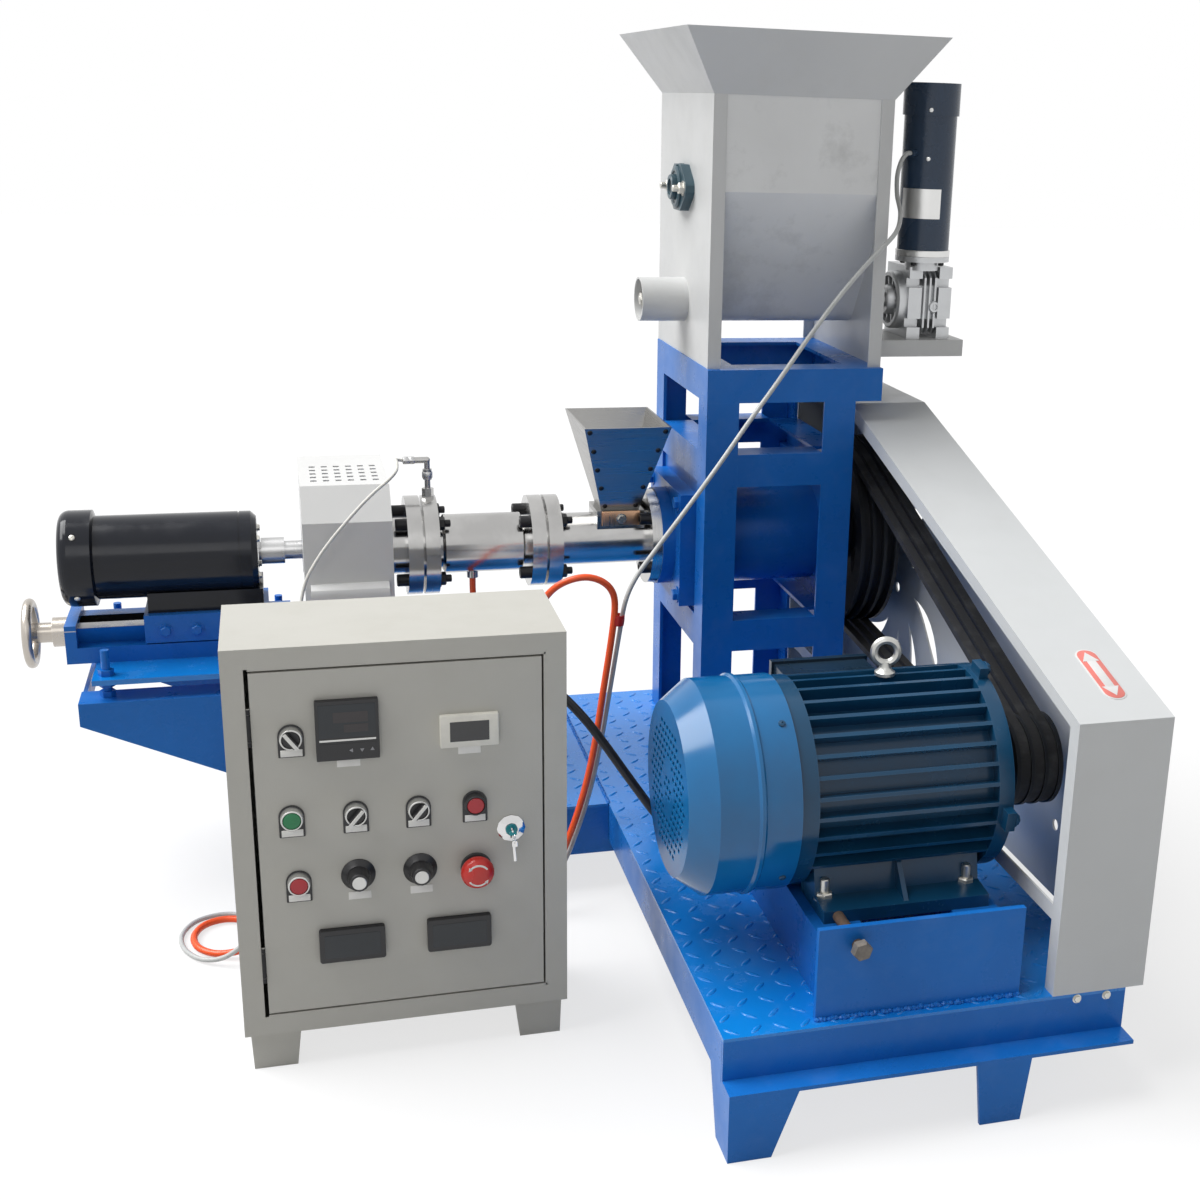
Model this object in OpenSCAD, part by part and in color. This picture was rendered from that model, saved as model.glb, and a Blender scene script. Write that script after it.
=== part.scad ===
// Feed pellet extruder: belt-driven screw press with a hopper feeder, a face cutter
// on a hand-fed slide and a floor-standing control cabinet.
// Worked out with X along the screw (0 at the tower's left face), Y away from the
// front (0 on the screw axis) and Z up from the floor, all in millimetres.

/* [Base] */
// Height of the checker-plate deck above the floor
deck_top = 144; // [130:1:170]
// Thickness of the deck plate
deck_t = 4; // [3:0.5:8]
// Left edge of the main deck
deck_left = -163; // [-190:1:-150]
// Right edge of the main deck
deck_right = 351; // [340:1:372]
// Front edge of the main deck
deck_front = -926; // [-960:1:-915]
// Back edge of both decks
deck_back = 219; // [205:1:235]
// Left end of the deck's wing
wing_left = -600; // [-640:1:-580]
// Front edge of the deck's wing
wing_front = -257; // [-280:1:-230]
// Depth of the main frame's angle bars
base_angle = 56; // [45:1:66]
// Depth of the wing's angle bars
wing_angle = 76; // [60:1:90]
// Thickness of the frame's angle bars
angle_t = 5; // [4:0.5:8]
// How far the front bar's lower flange stands out
front_lip = 32; // [20:1:45]
// Width of a foot at its top
foot_top_w = 84; // [70:1:95]
// Width of a foot at the floor
foot_low_w = 53; // [40:1:65]
// Left side of the front right foot
foot_inset_x = 136; // [110:1:170]

/* [Tower] */
// Width of the tower along the screw
tower_w = 235; // [225:1:240]
// Depth of the tower
tower_d = 334; // [320:1:350]
// Height of the tower's top above the floor
tower_top = 788; // [770:1:810]
// Leg of the tower's angle bars
tower_leg = 50; // [40:1:55]
// Height of the upper rail's lower edge
rail_high = 609; // [600:1:625]
// Height of the lower rail's lower edge
rail_low = 345; // [330:1:360]
// Width of the ring that carries the hopper
ring_w = 277; // [270:1:290]

/* [Screw and barrel] */
// Height of the screw axis above the floor
screw_h = 494; // [488:1:500]
// Radius of the screw's drive shaft
shaft_r = 30; // [24:0.5:31]
// Radius of the barrel's bore
bore_r = 33; // [32:0.5:36]
// Radius of the screw's core
core_r = 20; // [15:0.5:24]
// Pitch of the screw's flight
screw_pitch = 46; // [36:1:60]
// Outside radius of the rear barrel
rear_r = 41.5; // [40:0.5:46]
// Outside radius of the thick front barrel
front_r = 46; // [44:0.5:50]
// Radius of the flange at the tower
tower_flange_r = 76; // [70:1:80]
// Radius of the middle flanges
mid_flange_r = 72; // [66:1:78]
// Radius of the die end's flanges
die_flange_r = 77; // [72:1:82]
// Thickness of the paired flanges
flange_t = 22; // [18:1:24]
// Gap that shows between paired flanges
flange_gap = 4; // [2:0.5:6]
// Length of the rear barrel between its flanges
rear_len = 141; // [132:1:150]
// Length of the thick part of the front barrel
front_len = 119; // [110:1:126]
// Length of the necks on the front barrel
neck_len = 11; // [8:0.5:14]
// Radius of the die head
die_r = 44; // [40:1:46]
// Length of the die head past its flange
die_len = 42; // [38:1:46]
// Room beside the bearing housing's square flange, to the tower's posts
housing_side_gap = 12; // [6:1:20]
// Half height of the bearing housing's square flange
housing_half_z = 90; // [84:1:96]
// Radius of the bearing housing's barrel
housing_r = 80; // [76:1:84]
// Radius of the housing's round boss
boss_r = 78; // [76:1:82]
// Length of the housing's round boss
boss_len = 20; // [16:1:26]
// Thickness of the housing's square flange, in front of the tower
housing_flange_t = 22; // [18:1:28]
// Height of the temperature probe above its flange
probe_h = 58; // [40:1:64]
// Length of the temperature probe's arm
probe_arm = 34; // [26:1:40]

/* [Feed funnel] */
// Height of the funnel's rim above the floor
funnel_top = 688; // [670:1:710]
// Width of the funnel's rim along the screw
funnel_w = 136; // [124:1:146]
// Depth of the funnel's rim
funnel_d = 174; // [160:1:190]
// Width of the funnel's throat along the screw
throat_w = 60; // [52:1:66]
// Depth of the funnel's throat
throat_d = 54; // [48:1:58]
// Distance of the funnel's middle from the tower
funnel_x = 102; // [100:1:108]
// Thickness of the funnel's sheet
funnel_t = 2.5; // [1.5:0.5:4]

/* [Hopper] */
// Height of the hopper's rim above the floor
hopper_top = 1266; // [1240:1:1300]
// Height where the hopper starts to flare
flare_z = 1179; // [1160:1:1195]
// How far the flare spreads along the screw
flare_out_x = 57; // [40:1:70]
// How far the flare spreads front and back
flare_out_y = 65; // [45:1:75]
// Left face of the hopper
hopper_left = 2; // [0:1:4]
// Right face of the hopper
hopper_right = 276; // [270:1:277]
// Front of the hopper's side panels
hopper_front = -156; // [-166:1:-150]
// Back of the hopper's side panels
hopper_back = 171; // [160:1:178]
// Height of the crease where the front and back sheets turn inwards
crease_z = 1044; // [1020:1:1070]
// Thickness of the hopper's sheet
sheet_t = 3; // [2:0.5:4]
// Width of the side panels' folded edges
fold_w = 20; // [14:1:26]
// Height of the feed auger's axis above the floor
auger_z = 873; // [868:1:878]
// Outside radius of the auger's tube
auger_tube_r = 33.5; // [31:0.5:36]
// How far the auger's tube stands out of the hopper
auger_tube_out = 72; // [60:1:84]
// Height of the agitator's axis above the floor
agitator_z = 1042; // [1034:1:1050]
// Radius of the auger's and agitator's shafts
feed_shaft_r = 12; // [10:0.5:14]

/* [Feeder drive] */
// Distance of the gearbox from the hopper
gearbox_gap = 59; // [54:1:66]
// Width of the gearbox
gearbox_w = 96; // [90:1:104]
// Depth of the gearbox
gearbox_d = 100; // [92:1:108]
// Height of the gearbox
gearbox_h = 113; // [108:1:118]
// How far the worm's axis lies in front of the output
worm_y = 34; // [30:1:38]
// Radius of the feeder motor
feeder_motor_r = 41; // [37:1:44]
// Height of the feeder motor, cap included
feeder_motor_h = 261; // [240:1:280]
// Height of the feeder motor's cap
feeder_cap_h = 48; // [40:1:56]
// Thickness of the gearbox shelf
shelf_t = 6; // [5:0.5:8]
// Right end of the gearbox shelf
shelf_right = 450; // [446:1:462]
// Radius of the auger's sprocket
auger_sprocket_r = 32; // [28:1:36]
// Radius of the agitator's sprocket
agitator_sprocket_r = 52; // [46:1:56]

/* [Main drive] */
// Distance of the motor's axis in front of the screw
motor_y = 702; // [690:1:712]
// Height of the motor's axis above its base
motor_axis_h = 132; // [128:1:136]
// Height of the motor's base above the deck
motor_base_h = 86; // [80:1:92]
// Radius of the motor's fins
fin_r = 130; // [122:1:132]
// Radius of the motor's finned barrel without fins
motor_core_r = 112; // [106:1:116]
// Number of fins round the motor
fin_count = 32; // [28:2:56]
// Thickness of the motor's fins
fin_t = 5; // [3:0.5:6]
// Spread of the slots in the motor's fan cowl
grille_r = 86; // [70:1:95]
// Left end of the motor's fan cowl
cowl_left = -180; // [-190:1:-170]
// Left end of the motor's finned barrel
motor_left = -48; // [-54:1:-42]
// Right end of the motor's drive end bell
motor_right = 241; // [232:1:246]
// Outside radius of the screw's pulley
pulley_r = 155; // [145:1:165]
// Outside radius of the motor's pulley
motor_pulley_r = 60; // [54:1:68]
// Left face of both pulleys
pulley_x = 262; // [260:1:268]
// Spacing of the belts
belt_pitch = 19; // [18:0.5:21]
// Number of belts
belt_count = 3; // [2:1:3]
// Width of a belt
belt_w = 13; // [11:0.5:15]
// Height of a belt
belt_h = 10; // [8:0.5:11]
// Right face of the belt guard
guard_right = 375; // [368:1:384]
// Left face of the belt guard
guard_left = 252; // [250:1:256]
// Height of the guard's front above the floor
guard_front_z = 499; // [485:1:515]
// Height of the guard's top above the floor
guard_top_z = 723; // [705:1:740]
// Where the guard's slope meets its flat top
guard_bend_y = -103; // [-125:1:-80]
// Back of the belt guard
guard_back_y = 190; // [182:1:205]
// Thickness of the guard's sheet
guard_t = 3; // [2:0.5:4]
// Width of the guard's rim on its open side
guard_rim = 22; // [16:1:28]
// Height of the guard's lower bar above the floor
guard_bar_z = 238; // [225:1:245]
// Number of curved vents in the guard's far side
vent_count = 9; // [6:1:10]
// Radius where the curved vents start
vent_in_r = 72; // [60:1:90]
// Radius where the curved vents end
vent_out_r = 200; // [150:1:210]
// Angle that a curved vent sweeps from its start to its end
vent_sweep = 25; // [10:1:40]
// Angle that a curved vent takes up
vent_width = 12; // [6:0.5:14]

/* [Cutter] */
// Left face of the die cover
cover_left = -590; // [-600:1:-580]
// Right face of the die cover
cover_right = -462; // [-466:1:-458]
// Height of the die cover's top
cover_top = 612; // [600:1:625]
// Height of the crease in the die cover's front
cover_crease = 565; // [555:1:575]
// Height of the die cover's lower edge
cover_low = 449; // [440:1:455]
// Half depth of the die cover at its lower edge
cover_half_low = 125; // [115:1:132]
// Half depth of the die cover's top
cover_half_top = 85; // [75:1:95]
// Thickness of the die cover's sheet
cover_t = 3; // [2:0.5:4]
// Radius of the cutter motor
cutter_motor_r = 62; // [58:1:64]
// Radius of the cutter motor's end cap
cutter_cap_r = 71; // [66:1:73]
// Left end of the cutter motor
cutter_motor_left = -931; // [-936:1:-926]
// Right end of the cutter motor
cutter_motor_right = -655; // [-670:1:-645]
// Radius of the cutter's shaft
cutter_shaft_r = 14; // [11:0.5:16]
// Reach of the knives from the axis
knife_reach = 52; // [46:1:56]
// Height of the lead screw's axis
lead_z = 382; // [380:1:384]
// Radius of the lead screw
lead_r = 8; // [6:0.5:9]
// Radius of the handwheel
handwheel_r = 52; // [46:1:58]
// Left end of the slide's base
slide_left = -930; // [-934:1:-924]
// Right end of the slide's base
slide_right = -612; // [-630:1:-604]
// Left end of the slide's carriage
carriage_left = -820; // [-830:1:-810]
// Length of the slide's carriage
carriage_len = 176; // [160:1:182]
// Width of the slide
slide_w = 120; // [112:1:128]
// Height of the levelling plate's top
plate_z = 350; // [346:1:352]
// Thickness of the levelling plate
plate_t = 8; // [6:0.5:10]
// Width of the levelling plate
plate_w = 280; // [264:1:286]
// Radius of the levelling studs
stud_r = 6; // [5:0.5:8]
// How far the levelling studs stand above their plate
stud_out = 38; // [24:1:44]
// Height of the cutter bracket's top
bracket_z = 318; // [310:1:324]
// Left end of the cutter bracket
bracket_left = -910; // [-916:1:-904]
// Right end of the cutter bracket
bracket_right = -450; // [-456:1:-430]
// Thickness of the bracket's plates
bracket_t = 6; // [5:0.5:8]

/* [Control cabinet] */
// Width of the cabinet
cabinet_w = 400; // [380:1:420]
// Depth of the cabinet
cabinet_d = 180; // [160:1:200]
// Height of the cabinet without its feet
cabinet_h = 503; // [490:1:520]
// Height of the cabinet's feet
cabinet_foot_h = 49; // [40:1:60]
// Width of a cabinet foot at its top
cabinet_foot_top = 80; // [66:1:86]
// Width of a cabinet foot at the floor
cabinet_foot_low = 56; // [44:1:64]
// Left side of the cabinet
cabinet_left = -694; // [-710:1:-670]
// Front of the cabinet
cabinet_front = -642; // [-660:1:-625]
// Thickness of the cabinet's sheet
cabinet_t = 2; // [1.5:0.5:3]
// Width of the cabinet's front frame beside the door
door_side = 30.5; // [26:0.5:36]
// Height of the cabinet's front frame above and below the door
door_edge = 29.5; // [26:0.5:36]
// Gap round the cabinet door
door_gap = 5; // [4:0.5:6]
// Depth of the door's folded edge
door_fold = 18; // [14:1:24]

/* [Cables] */
// Diameter of the main motor's cable
motor_cable_d = 13; // [10:0.5:13]
// Diameter of the heater's lead
heater_lead_d = 10; // [8:0.5:10]
// Diameter of the feeder's cable
feeder_cable_d = 7; // [5:0.5:7]
// Diameter of the temperature probe's lead
probe_lead_d = 5; // [4:0.5:5]

/* [Clearances] */
// Running clearance round turning shafts
run_gap = 1; // [0.5:0.1:2]
// Sliding clearance of the cutter's slide
slide_gap = 0.6; // [0.3:0.1:1]
// Clearance between belts or chain and their wheels
loop_gap = 0.6; // [0.4:0.1:1]
// Gap left between bars for the weld
weld_gap = 1; // [0.5:0.1:2]
// Clearance of parts that fit together
fit_gap = 0.3; // [0.1:0.05:0.5]

/* [Hidden] */
$fn = 64;

// Colours
frame_blue = [0.06, 0.25, 0.62];
pale_grey = [0.78, 0.79, 0.78];
steel = [0.62, 0.62, 0.63];
black = [0.07, 0.07, 0.08];
teal = [0.05, 0.36, 0.5];
cabinet_grey = [0.7, 0.7, 0.66];

// Heights worked out from the base up
deck_low = deck_top - deck_t;
base_low = deck_low - base_angle;
wing_low = deck_low - wing_angle;
ring_low = tower_top - tower_leg;
rail_h = tower_leg;
housing_half_y = tower_d / 2 - tower_leg - housing_side_gap;

// Places along the screw, from the tower outwards
housing_face = -housing_flange_t;
boss_face = housing_face - boss_len;
tower_flange_t = 16;
rear_right = boss_face - tower_flange_t;
rear_left = rear_right - rear_len;
mid_left = rear_left - flange_t - flange_gap;
front_right = mid_left - flange_t;
front_left = front_right - 2 * neck_len - front_len;
die_right = front_left - flange_t - flange_gap;
die_face = die_right - flange_t - die_len;
flight_r = bore_r - run_gap;
saddle_top = screw_h + rear_r + 2;

// Pulleys and belts
pulley_w = belt_pitch * (belt_count - 1) + 26;
pulley_mid = pulley_x + pulley_w / 2;
groove_depth = belt_h + 4;
belt_out_gap = 2;
motor_z = deck_top + motor_base_h + motor_axis_h;
motor_foot_z = deck_top + motor_base_h;
motor_shaft_r = 19;
motor_y_feet = 280;
cowl_t = 3;
cowl_step = 4;
cowl_cone = 32;
spigot_len = 16;
bell_t = 36;
lug_turn = 8;
rail_w = 60;
rail_wall = 8;
rails_x = [-32, 148];
base_plate_t = 8;
base_plate_h = 118;
base_plate_out = 16;
tension_x = 0;
tension_r = 7;
tension_z = motor_foot_z + 9;
terminal_w = 130;
terminal_d = 64;
terminal_h = 100;
terminal_z = motor_z - 20;
terminal_lid = 10;
gland_len = 22;

// Guard vents
vent_y = -46;
vent_z = 399;
vent_start = 98;
sight_y = -669;
sight_z = 244;
guard_bar_h = 20;

// Cutter
knife_right = die_face - 5;
knife_t = 4;
handwheel_x = slide_left - 38;
slide_ledge = 24;
slide_dovetail_h = 26;
ledge_z = plate_z + slide_ledge;
dovetail_z = ledge_z + slide_dovetail_h;
carriage_low = ledge_z + 2;
carriage_top = dovetail_z + 18;
dovetail_half_top = 45;
dovetail_half_low = 34;
slot_half = 18;

// Feeder
shelf_top = tower_top + 28;
gearbox_left = hopper_right + gearbox_gap;
gearbox_mid = gearbox_left + gearbox_w / 2;
gearbox_top = shelf_top + gearbox_h;
worm_flange_h = 17;
feeder_motor_z = gearbox_top + worm_flange_h;
chain_x = hopper_right + 26;
chain_w = 8;
bearing_t = 16;

// Cabinet
cabinet_right = cabinet_left + cabinet_w;
cabinet_low = cabinet_foot_h;
cabinet_top = cabinet_low + cabinet_h;
cabinet_back = cabinet_front + cabinet_d;
door_w = cabinet_w - 2 * door_side;
door_h = cabinet_h - 2 * door_edge;
door_left = cabinet_left + door_side;
door_low = cabinet_low + door_edge;
hinge_x = door_left - door_gap / 2;
hinge_y = cabinet_front;
hinge_pin_r = 1.2;
hinge_len = 34;

// Where cables enter the cabinet's back, from its lower left corner: across, up, diameter
cabinet_glands = [[39, 61, feeder_cable_d], [94, 61, heater_lead_d], [134, 231, probe_lead_d],
    [329, 373, motor_cable_d]];
heater_x = -333;
feeder_gland_z = 1103;
feeder_gland_turn = 217;
feeder_gland_len = 12;

// Cable routes, from the machine to the cabinet
motor_cable_route = [[60, -535, 320], [60, -535, 298], [57, -530, 268], [46, -518, 236], [26, -498, 206],
    [-2, -474, 180], [-34, -450, 162], [-66, -428, 153], [-96, -412, 160], [-122, -402, 186],
    [-146, -396, 220], [-170, -391, 256], [-195, -387, 294], [-222, -381, 332], [-252, -374, 366],
    [-283, -368, 394], [-311, -367, 412], [-336, -373, 420], [-355, -389, 423], [-364, -414, 422],
    [-365, -440, 422]];
heater_lead_route = [[-333, 0, 438], [-333, 0, 416], [-332, -4, 392], [-328, -18, 368], [-321, -48, 352],
    [-312, -90, 350], [-302, -140, 364], [-292, -190, 392], [-281, -236, 430], [-269, -272, 470],
    [-254, -296, 500], [-234, -306, 515], [-210, -309, 520], [-188, -309, 514], [-172, -307, 499],
    [-166, -305, 476], [-170, -305, 430], [-182, -307, 350], [-196, -309, 260], [-212, -312, 190],
    [-236, -317, 120], [-266, -325, 60], [-306, -334, 20], [-360, -340, 7], [-460, -342, 6],
    [-570, -336, 6], [-644, -300, 6], [-690, -258, 6], [-726, -242, 6], [-756, -254, 6],
    [-769, -286, 6], [-761, -321, 6], [-735, -345, 7], [-700, -353, 14], [-667, -358, 35],
    [-639, -364, 65], [-617, -375, 92], [-604, -395, 107], [-600, -418, 110], [-600, -440, 110]];
feeder_cable_route = [[340, -66, 1103], [332, -72, 1102], [320, -82, 1092], [311, -91, 1070],
    [304, -113, 1042], [299, -144, 1016], [282, -171, 990], [246, -180, 956], [197, -188, 904],
    [145, -200, 842],
    [95, -216, 780], [45, -232, 720], [-5, -248, 658], [-55, -265, 600], [-100, -281, 550],
    [-132, -292, 512], [-149, -298, 478], [-158, -300, 430], [-171, -302, 350], [-184, -303, 270],
    [-200, -306, 196], [-222, -309, 126], [-250, -313, 64], [-290, -318, 20], [-345, -323, 5],
    [-450, -326, 4], [-570, -319, 4], [-640, -282, 4], [-690, -239, 4], [-730, -222, 4],
    [-768, -236, 4], [-786, -275, 4], [-780, -318, 4], [-757, -352, 5], [-727, -369, 13],
    [-698, -376, 36], [-676, -383, 70], [-661, -398, 99], [-655, -420, 110], [-655, -440, 110]];
probe_lead_route = [[-433, 0, 628], [-440, -1, 629], [-447, -16, 633], [-449, -44, 639], [-450, -82, 641],
    [-454, -118, 638], [-466, -138, 630], [-486, -148, 616], [-508, -153, 596], [-532, -155, 570],
    [-554, -156, 544], [-574, -157, 516], [-590, -159, 486], [-599, -166, 446], [-600, -184, 400],
    [-596, -222, 350], [-588, -274, 308], [-577, -332, 284], [-567, -386, 277], [-561, -422, 280],
    [-560, -440, 280]];

// The origin is under the middle of the whole machine
origin_x = (handwheel_x - 22 + shelf_right) / 2;
origin_y = (deck_front - front_lip + hopper_back + flare_out_y) / 2;

module machine() translate([-origin_x, -origin_y, 0]) children();

// A block between two opposite corners
module block(low, high) translate(low) cube(high - low);

// Puts a shape's own Z axis along X
module along_x(x, y, z) translate([x, y, z]) rotate([0, 90, 0]) children();
module on_screw(x) along_x(x, 0, screw_h) children();

// Extrudes an outline drawn in Y and Z along X, or one drawn in X and Z along Y
module sweep_x(x0, x1) translate([x0, 0, 0]) rotate([90, 0, 90]) linear_extrude(x1 - x0) children();
module sweep_y(y0, y1) translate([0, y1, 0]) rotate([90, 0, 0]) linear_extrude(y1 - y0) children();

// An angle bar's section: one leg up the outside, one leg inwards at the top
module rail_section(leg, h, t) polygon([[0, 0], [t, 0], [t, h - t], [leg, h - t], [leg, h], [0, h]]);

// A screw flight on a core, along Z
module screw_flight(len, pitch, core, outer, flight_t) {
    reach = sqrt(outer * outer - flight_t * flight_t / 4);
    linear_extrude(len, twist = -360 * len / pitch, slices = round(10 * len / pitch), $fn = 8) {
        circle(r = core, $fn = 10);
        polygon([[0, -flight_t / 2], [reach, -flight_t / 2], [reach, flight_t / 2], [0, flight_t / 2]]);
    }
}

// The outline of a loop round two wheels, each given as centre and radius
module loop_outline(c1, r1, c2, r2) hull() {
    translate(c1) circle(r = r1, $fn = 72);
    translate(c2) circle(r = r2, $fn = 72);
}

// A point on the smooth curve through four points, between the middle two
function curve_at(a, b, c, d, t) = 0.5 * (2 * b + (c - a) * t + (2 * a - 5 * b + 4 * c - d) * t * t
    + (3 * b - a - 3 * c + d) * t * t * t);
function smooth(pts, steps) = let (last = len(pts) - 1) concat(
    [for (i = [0 : last - 1], k = [0 : steps - 1])
        curve_at(pts[max(i - 1, 0)], pts[i], pts[i + 1], pts[min(i + 2, last)], k / steps)],
    [pts[last]]);
function unit(v) = v / norm(v);
function headings(pts) = [for (i = [0 : len(pts) - 1])
    unit(pts[min(i + 1, len(pts) - 1)] - pts[max(i - 1, 0)])];
// Carries a side direction along the curve without twist
function sides_along(dirs, i, side) = i == len(dirs) ? [] :
    let (flat = unit(side - dirs[i] * (side * dirs[i]))) concat([flat], sides_along(dirs, i + 1, flat));

// A round cable along a route
module cable(route, d, steps, sides) {
    pts = smooth(route, steps);
    dirs = headings(pts);
    across = sides_along(dirs, 0, [0.3, 0.5, 0.8]);
    rings = len(pts);
    skin = [for (i = [0 : rings - 1], k = [0 : sides - 1]) let (a = 360 * k / sides)
        pts[i] + d / 2 * (cos(a) * across[i] + sin(a) * cross(dirs[i], across[i]))];
    walls = [for (i = [0 : rings - 2], k = [0 : sides - 1]) let (n = (k + 1) % sides)
        [i * sides + k, (i + 1) * sides + k, (i + 1) * sides + n, i * sides + n]];
    polyhedron(skin, concat(walls, [[for (k = [0 : sides - 1]) k]],
        [[for (k = [0 : sides - 1]) rings * sides - 1 - k]]));
}

// Base: angle bars under an L-shaped deck
module base_bar_y(x, side, y0, y1, h) sweep_y(y0, y1)
    translate([x, deck_low - h]) scale_side(side) rail_section(40, h, angle_t);
module scale_side(side) mirror([side < 0 ? 1 : 0, 0]) children();

module base_frame() color(frame_blue) machine() {
    bar_y0 = deck_front + angle_t + weld_gap;
    sweep_x(deck_left, deck_right) translate([deck_front, base_low])
        polygon([[-front_lip, 0], [angle_t, 0], [angle_t, base_angle], [0, base_angle],
            [0, angle_t], [-front_lip, angle_t]]);
    base_bar_y(deck_left, 1, bar_y0, wing_front - weld_gap, base_angle);
    base_bar_y(deck_right, -1, bar_y0, deck_back - 40 - weld_gap, base_angle);
    sweep_x(wing_left, deck_right) translate([deck_back, deck_low - base_angle])
        mirror([1, 0]) rail_section(40, base_angle, angle_t);
    sweep_x(wing_left, deck_left + 40) translate([wing_front, wing_low])
        rail_section(40, wing_angle, angle_t);
    base_bar_y(wing_left, 1, wing_front + 40 + weld_gap, deck_back - 40 - weld_gap, base_angle);
    sweep_x(deck_left + 40 + weld_gap, deck_right - 40 - weld_gap)
        translate([wing_front, base_low]) rail_section(40, base_angle, angle_t);
}

module deck_plates() color(frame_blue) machine() {
    block([deck_left, deck_front, deck_low], [deck_right, deck_back, deck_top]);
    block([wing_left, wing_front, deck_low], [deck_left - weld_gap, deck_back, deck_top]);
}

// One foot: two tapered plates folded along an upright edge at the origin
module folded_foot(h, top_w, low_w, t) {
    module face() polygon([[0, 0], [low_w, 0], [top_w, h], [0, h]]);
    sweep_y(0, t) face();
    sweep_x(0, t) face();
}
module base_foot(h) folded_foot(h, foot_top_w, foot_low_w, angle_t);

module base_feet() color(frame_blue) machine() {
    front_y = deck_front - front_lip;
    translate([deck_left, front_y, 0]) base_foot(base_low);
    translate([foot_inset_x, front_y, 0]) base_foot(base_low);
    translate([deck_right, deck_back, 0]) rotate(180) base_foot(base_low);
    translate([wing_left, deck_back, 0]) mirror([0, 1, 0]) base_foot(base_low);
    translate([wing_left, wing_front, 0]) base_foot(wing_low);
}

// Tower of angle bars
module tower_posts() color(frame_blue) machine()
    for (mx = [0, 1], my = [0, 1]) translate([tower_w / 2, 0, deck_top])
        mirror([mx, 0, 0]) mirror([0, my, 0]) translate([-tower_w / 2, -tower_d / 2, 0])
            linear_extrude(ring_low - deck_top)
                polygon([[0, 0], [tower_leg, 0], [tower_leg, angle_t], [angle_t, angle_t],
                    [angle_t, tower_leg], [0, tower_leg]]);

module tower_rails() color(frame_blue) machine()
    for (z = [rail_high, rail_low]) {
        for (side = [0, 1]) mirror([0, side, 0]) sweep_x(tower_leg, tower_w - tower_leg)
            translate([-tower_d / 2, z]) rail_section(tower_leg, rail_h, angle_t);
        for (side = [0, 1]) translate([tower_w / 2, 0, 0]) mirror([side, 0, 0])
            translate([-tower_w / 2, 0, 0]) sweep_y(tower_leg - tower_d / 2, tower_d / 2 - tower_leg)
                translate([0, z]) rail_section(tower_leg, rail_h, angle_t);
    }

module top_frame() color(frame_blue) machine() difference() {
    block([0, -tower_d / 2, ring_low], [ring_w, tower_d / 2, tower_top]);
    block([angle_t, angle_t - tower_d / 2, ring_low - 1],
        [ring_w - angle_t, tower_d / 2 - angle_t, tower_top - angle_t]);
    block([tower_leg, tower_leg - tower_d / 2, ring_low - 1],
        [ring_w - tower_leg, tower_d / 2 - tower_leg, tower_top + 1]);
}

// Screw, bearing housing and barrel
module housing_plates() color(frame_blue) machine()
    for (x = [angle_t, tower_w - angle_t - 12]) difference() {
        block([x, angle_t - tower_d / 2, rail_low + rail_h], [x + 12, tower_d / 2 - angle_t, rail_high]);
        on_screw(x - 1) cylinder(r = housing_r + fit_gap, h = 14);
    }

module bearing_housing() color(frame_blue) machine() difference() {
    union() {
        block([housing_face, -housing_half_y, screw_h - housing_half_z],
            [angle_t, housing_half_y, screw_h + housing_half_z]);
        on_screw(boss_face) cylinder(r = boss_r, h = boss_len + 1);
        on_screw(0) cylinder(r = housing_r, h = tower_w + 3);
    }
    on_screw(boss_face - 1) cylinder(r = shaft_r + run_gap, h = tower_w - boss_face + 6);
}

module screw_shaft() color(steel) machine() {
    flight_len = rear_right - die_right + flange_t - 6;
    on_screw(rear_right) cylinder(r = shaft_r, h = pulley_x + pulley_w + 6 - rear_right);
    on_screw(rear_right - flight_len) screw_flight(flight_len, screw_pitch, core_r, flight_r, 12);
}

// A grooved pulley at the origin, its axis along Z
module grooved_pulley(r) rotate_extrude($fn = 96) difference() {
    square([r, pulley_w]);
    for (i = [0 : belt_count - 1])
        translate([r - groove_depth, 13 + i * belt_pitch - belt_w / 2 - loop_gap])
            square([groove_depth + 1, belt_w + 2 * loop_gap]);
}

module screw_pulley() color(steel) machine() on_screw(pulley_x) {
    rim_r = pulley_r - groove_depth - 14;
    hub_r = shaft_r + 20;
    web_gap = (pulley_w - 18) / 2;
    difference() {
        grooved_pulley(pulley_r);
        translate([0, 0, -1]) cylinder(r = shaft_r, h = pulley_w + 2);
        for (z = [-1, pulley_w - web_gap]) translate([0, 0, z]) difference() {
            cylinder(r = rim_r, h = web_gap + 1);
            translate([0, 0, -1]) cylinder(r = hub_r, h = web_gap + 3);
        }
        for (i = [0 : 5]) rotate(i * 60) translate([(rim_r + hub_r) / 2, 0, 0])
            cylinder(r = (rim_r - hub_r) / 2 - 8, h = pulley_w);
    }
}

module rear_barrel() color(steel) machine() difference() {
    union() {
        on_screw(rear_right) cylinder(r = tower_flange_r, h = tower_flange_t);
        on_screw(rear_left - 1) cylinder(r = rear_r, h = rear_len + 2);
        on_screw(rear_left - flange_t) cylinder(r = mid_flange_r, h = flange_t);
        block([-funnel_x - throat_w / 2 - 8, -throat_d / 2 - 8, screw_h],
            [-funnel_x + throat_w / 2 + 8, throat_d / 2 + 8, saddle_top]);
    }
    on_screw(rear_left - flange_t - 1) cylinder(r = bore_r, h = boss_face - rear_left + flange_t + 2);
    block([-funnel_x - throat_w / 2 + 4, -throat_d / 2 + 4, screw_h],
        [-funnel_x + throat_w / 2 - 4, throat_d / 2 - 4, saddle_top + 1]);
}

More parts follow.
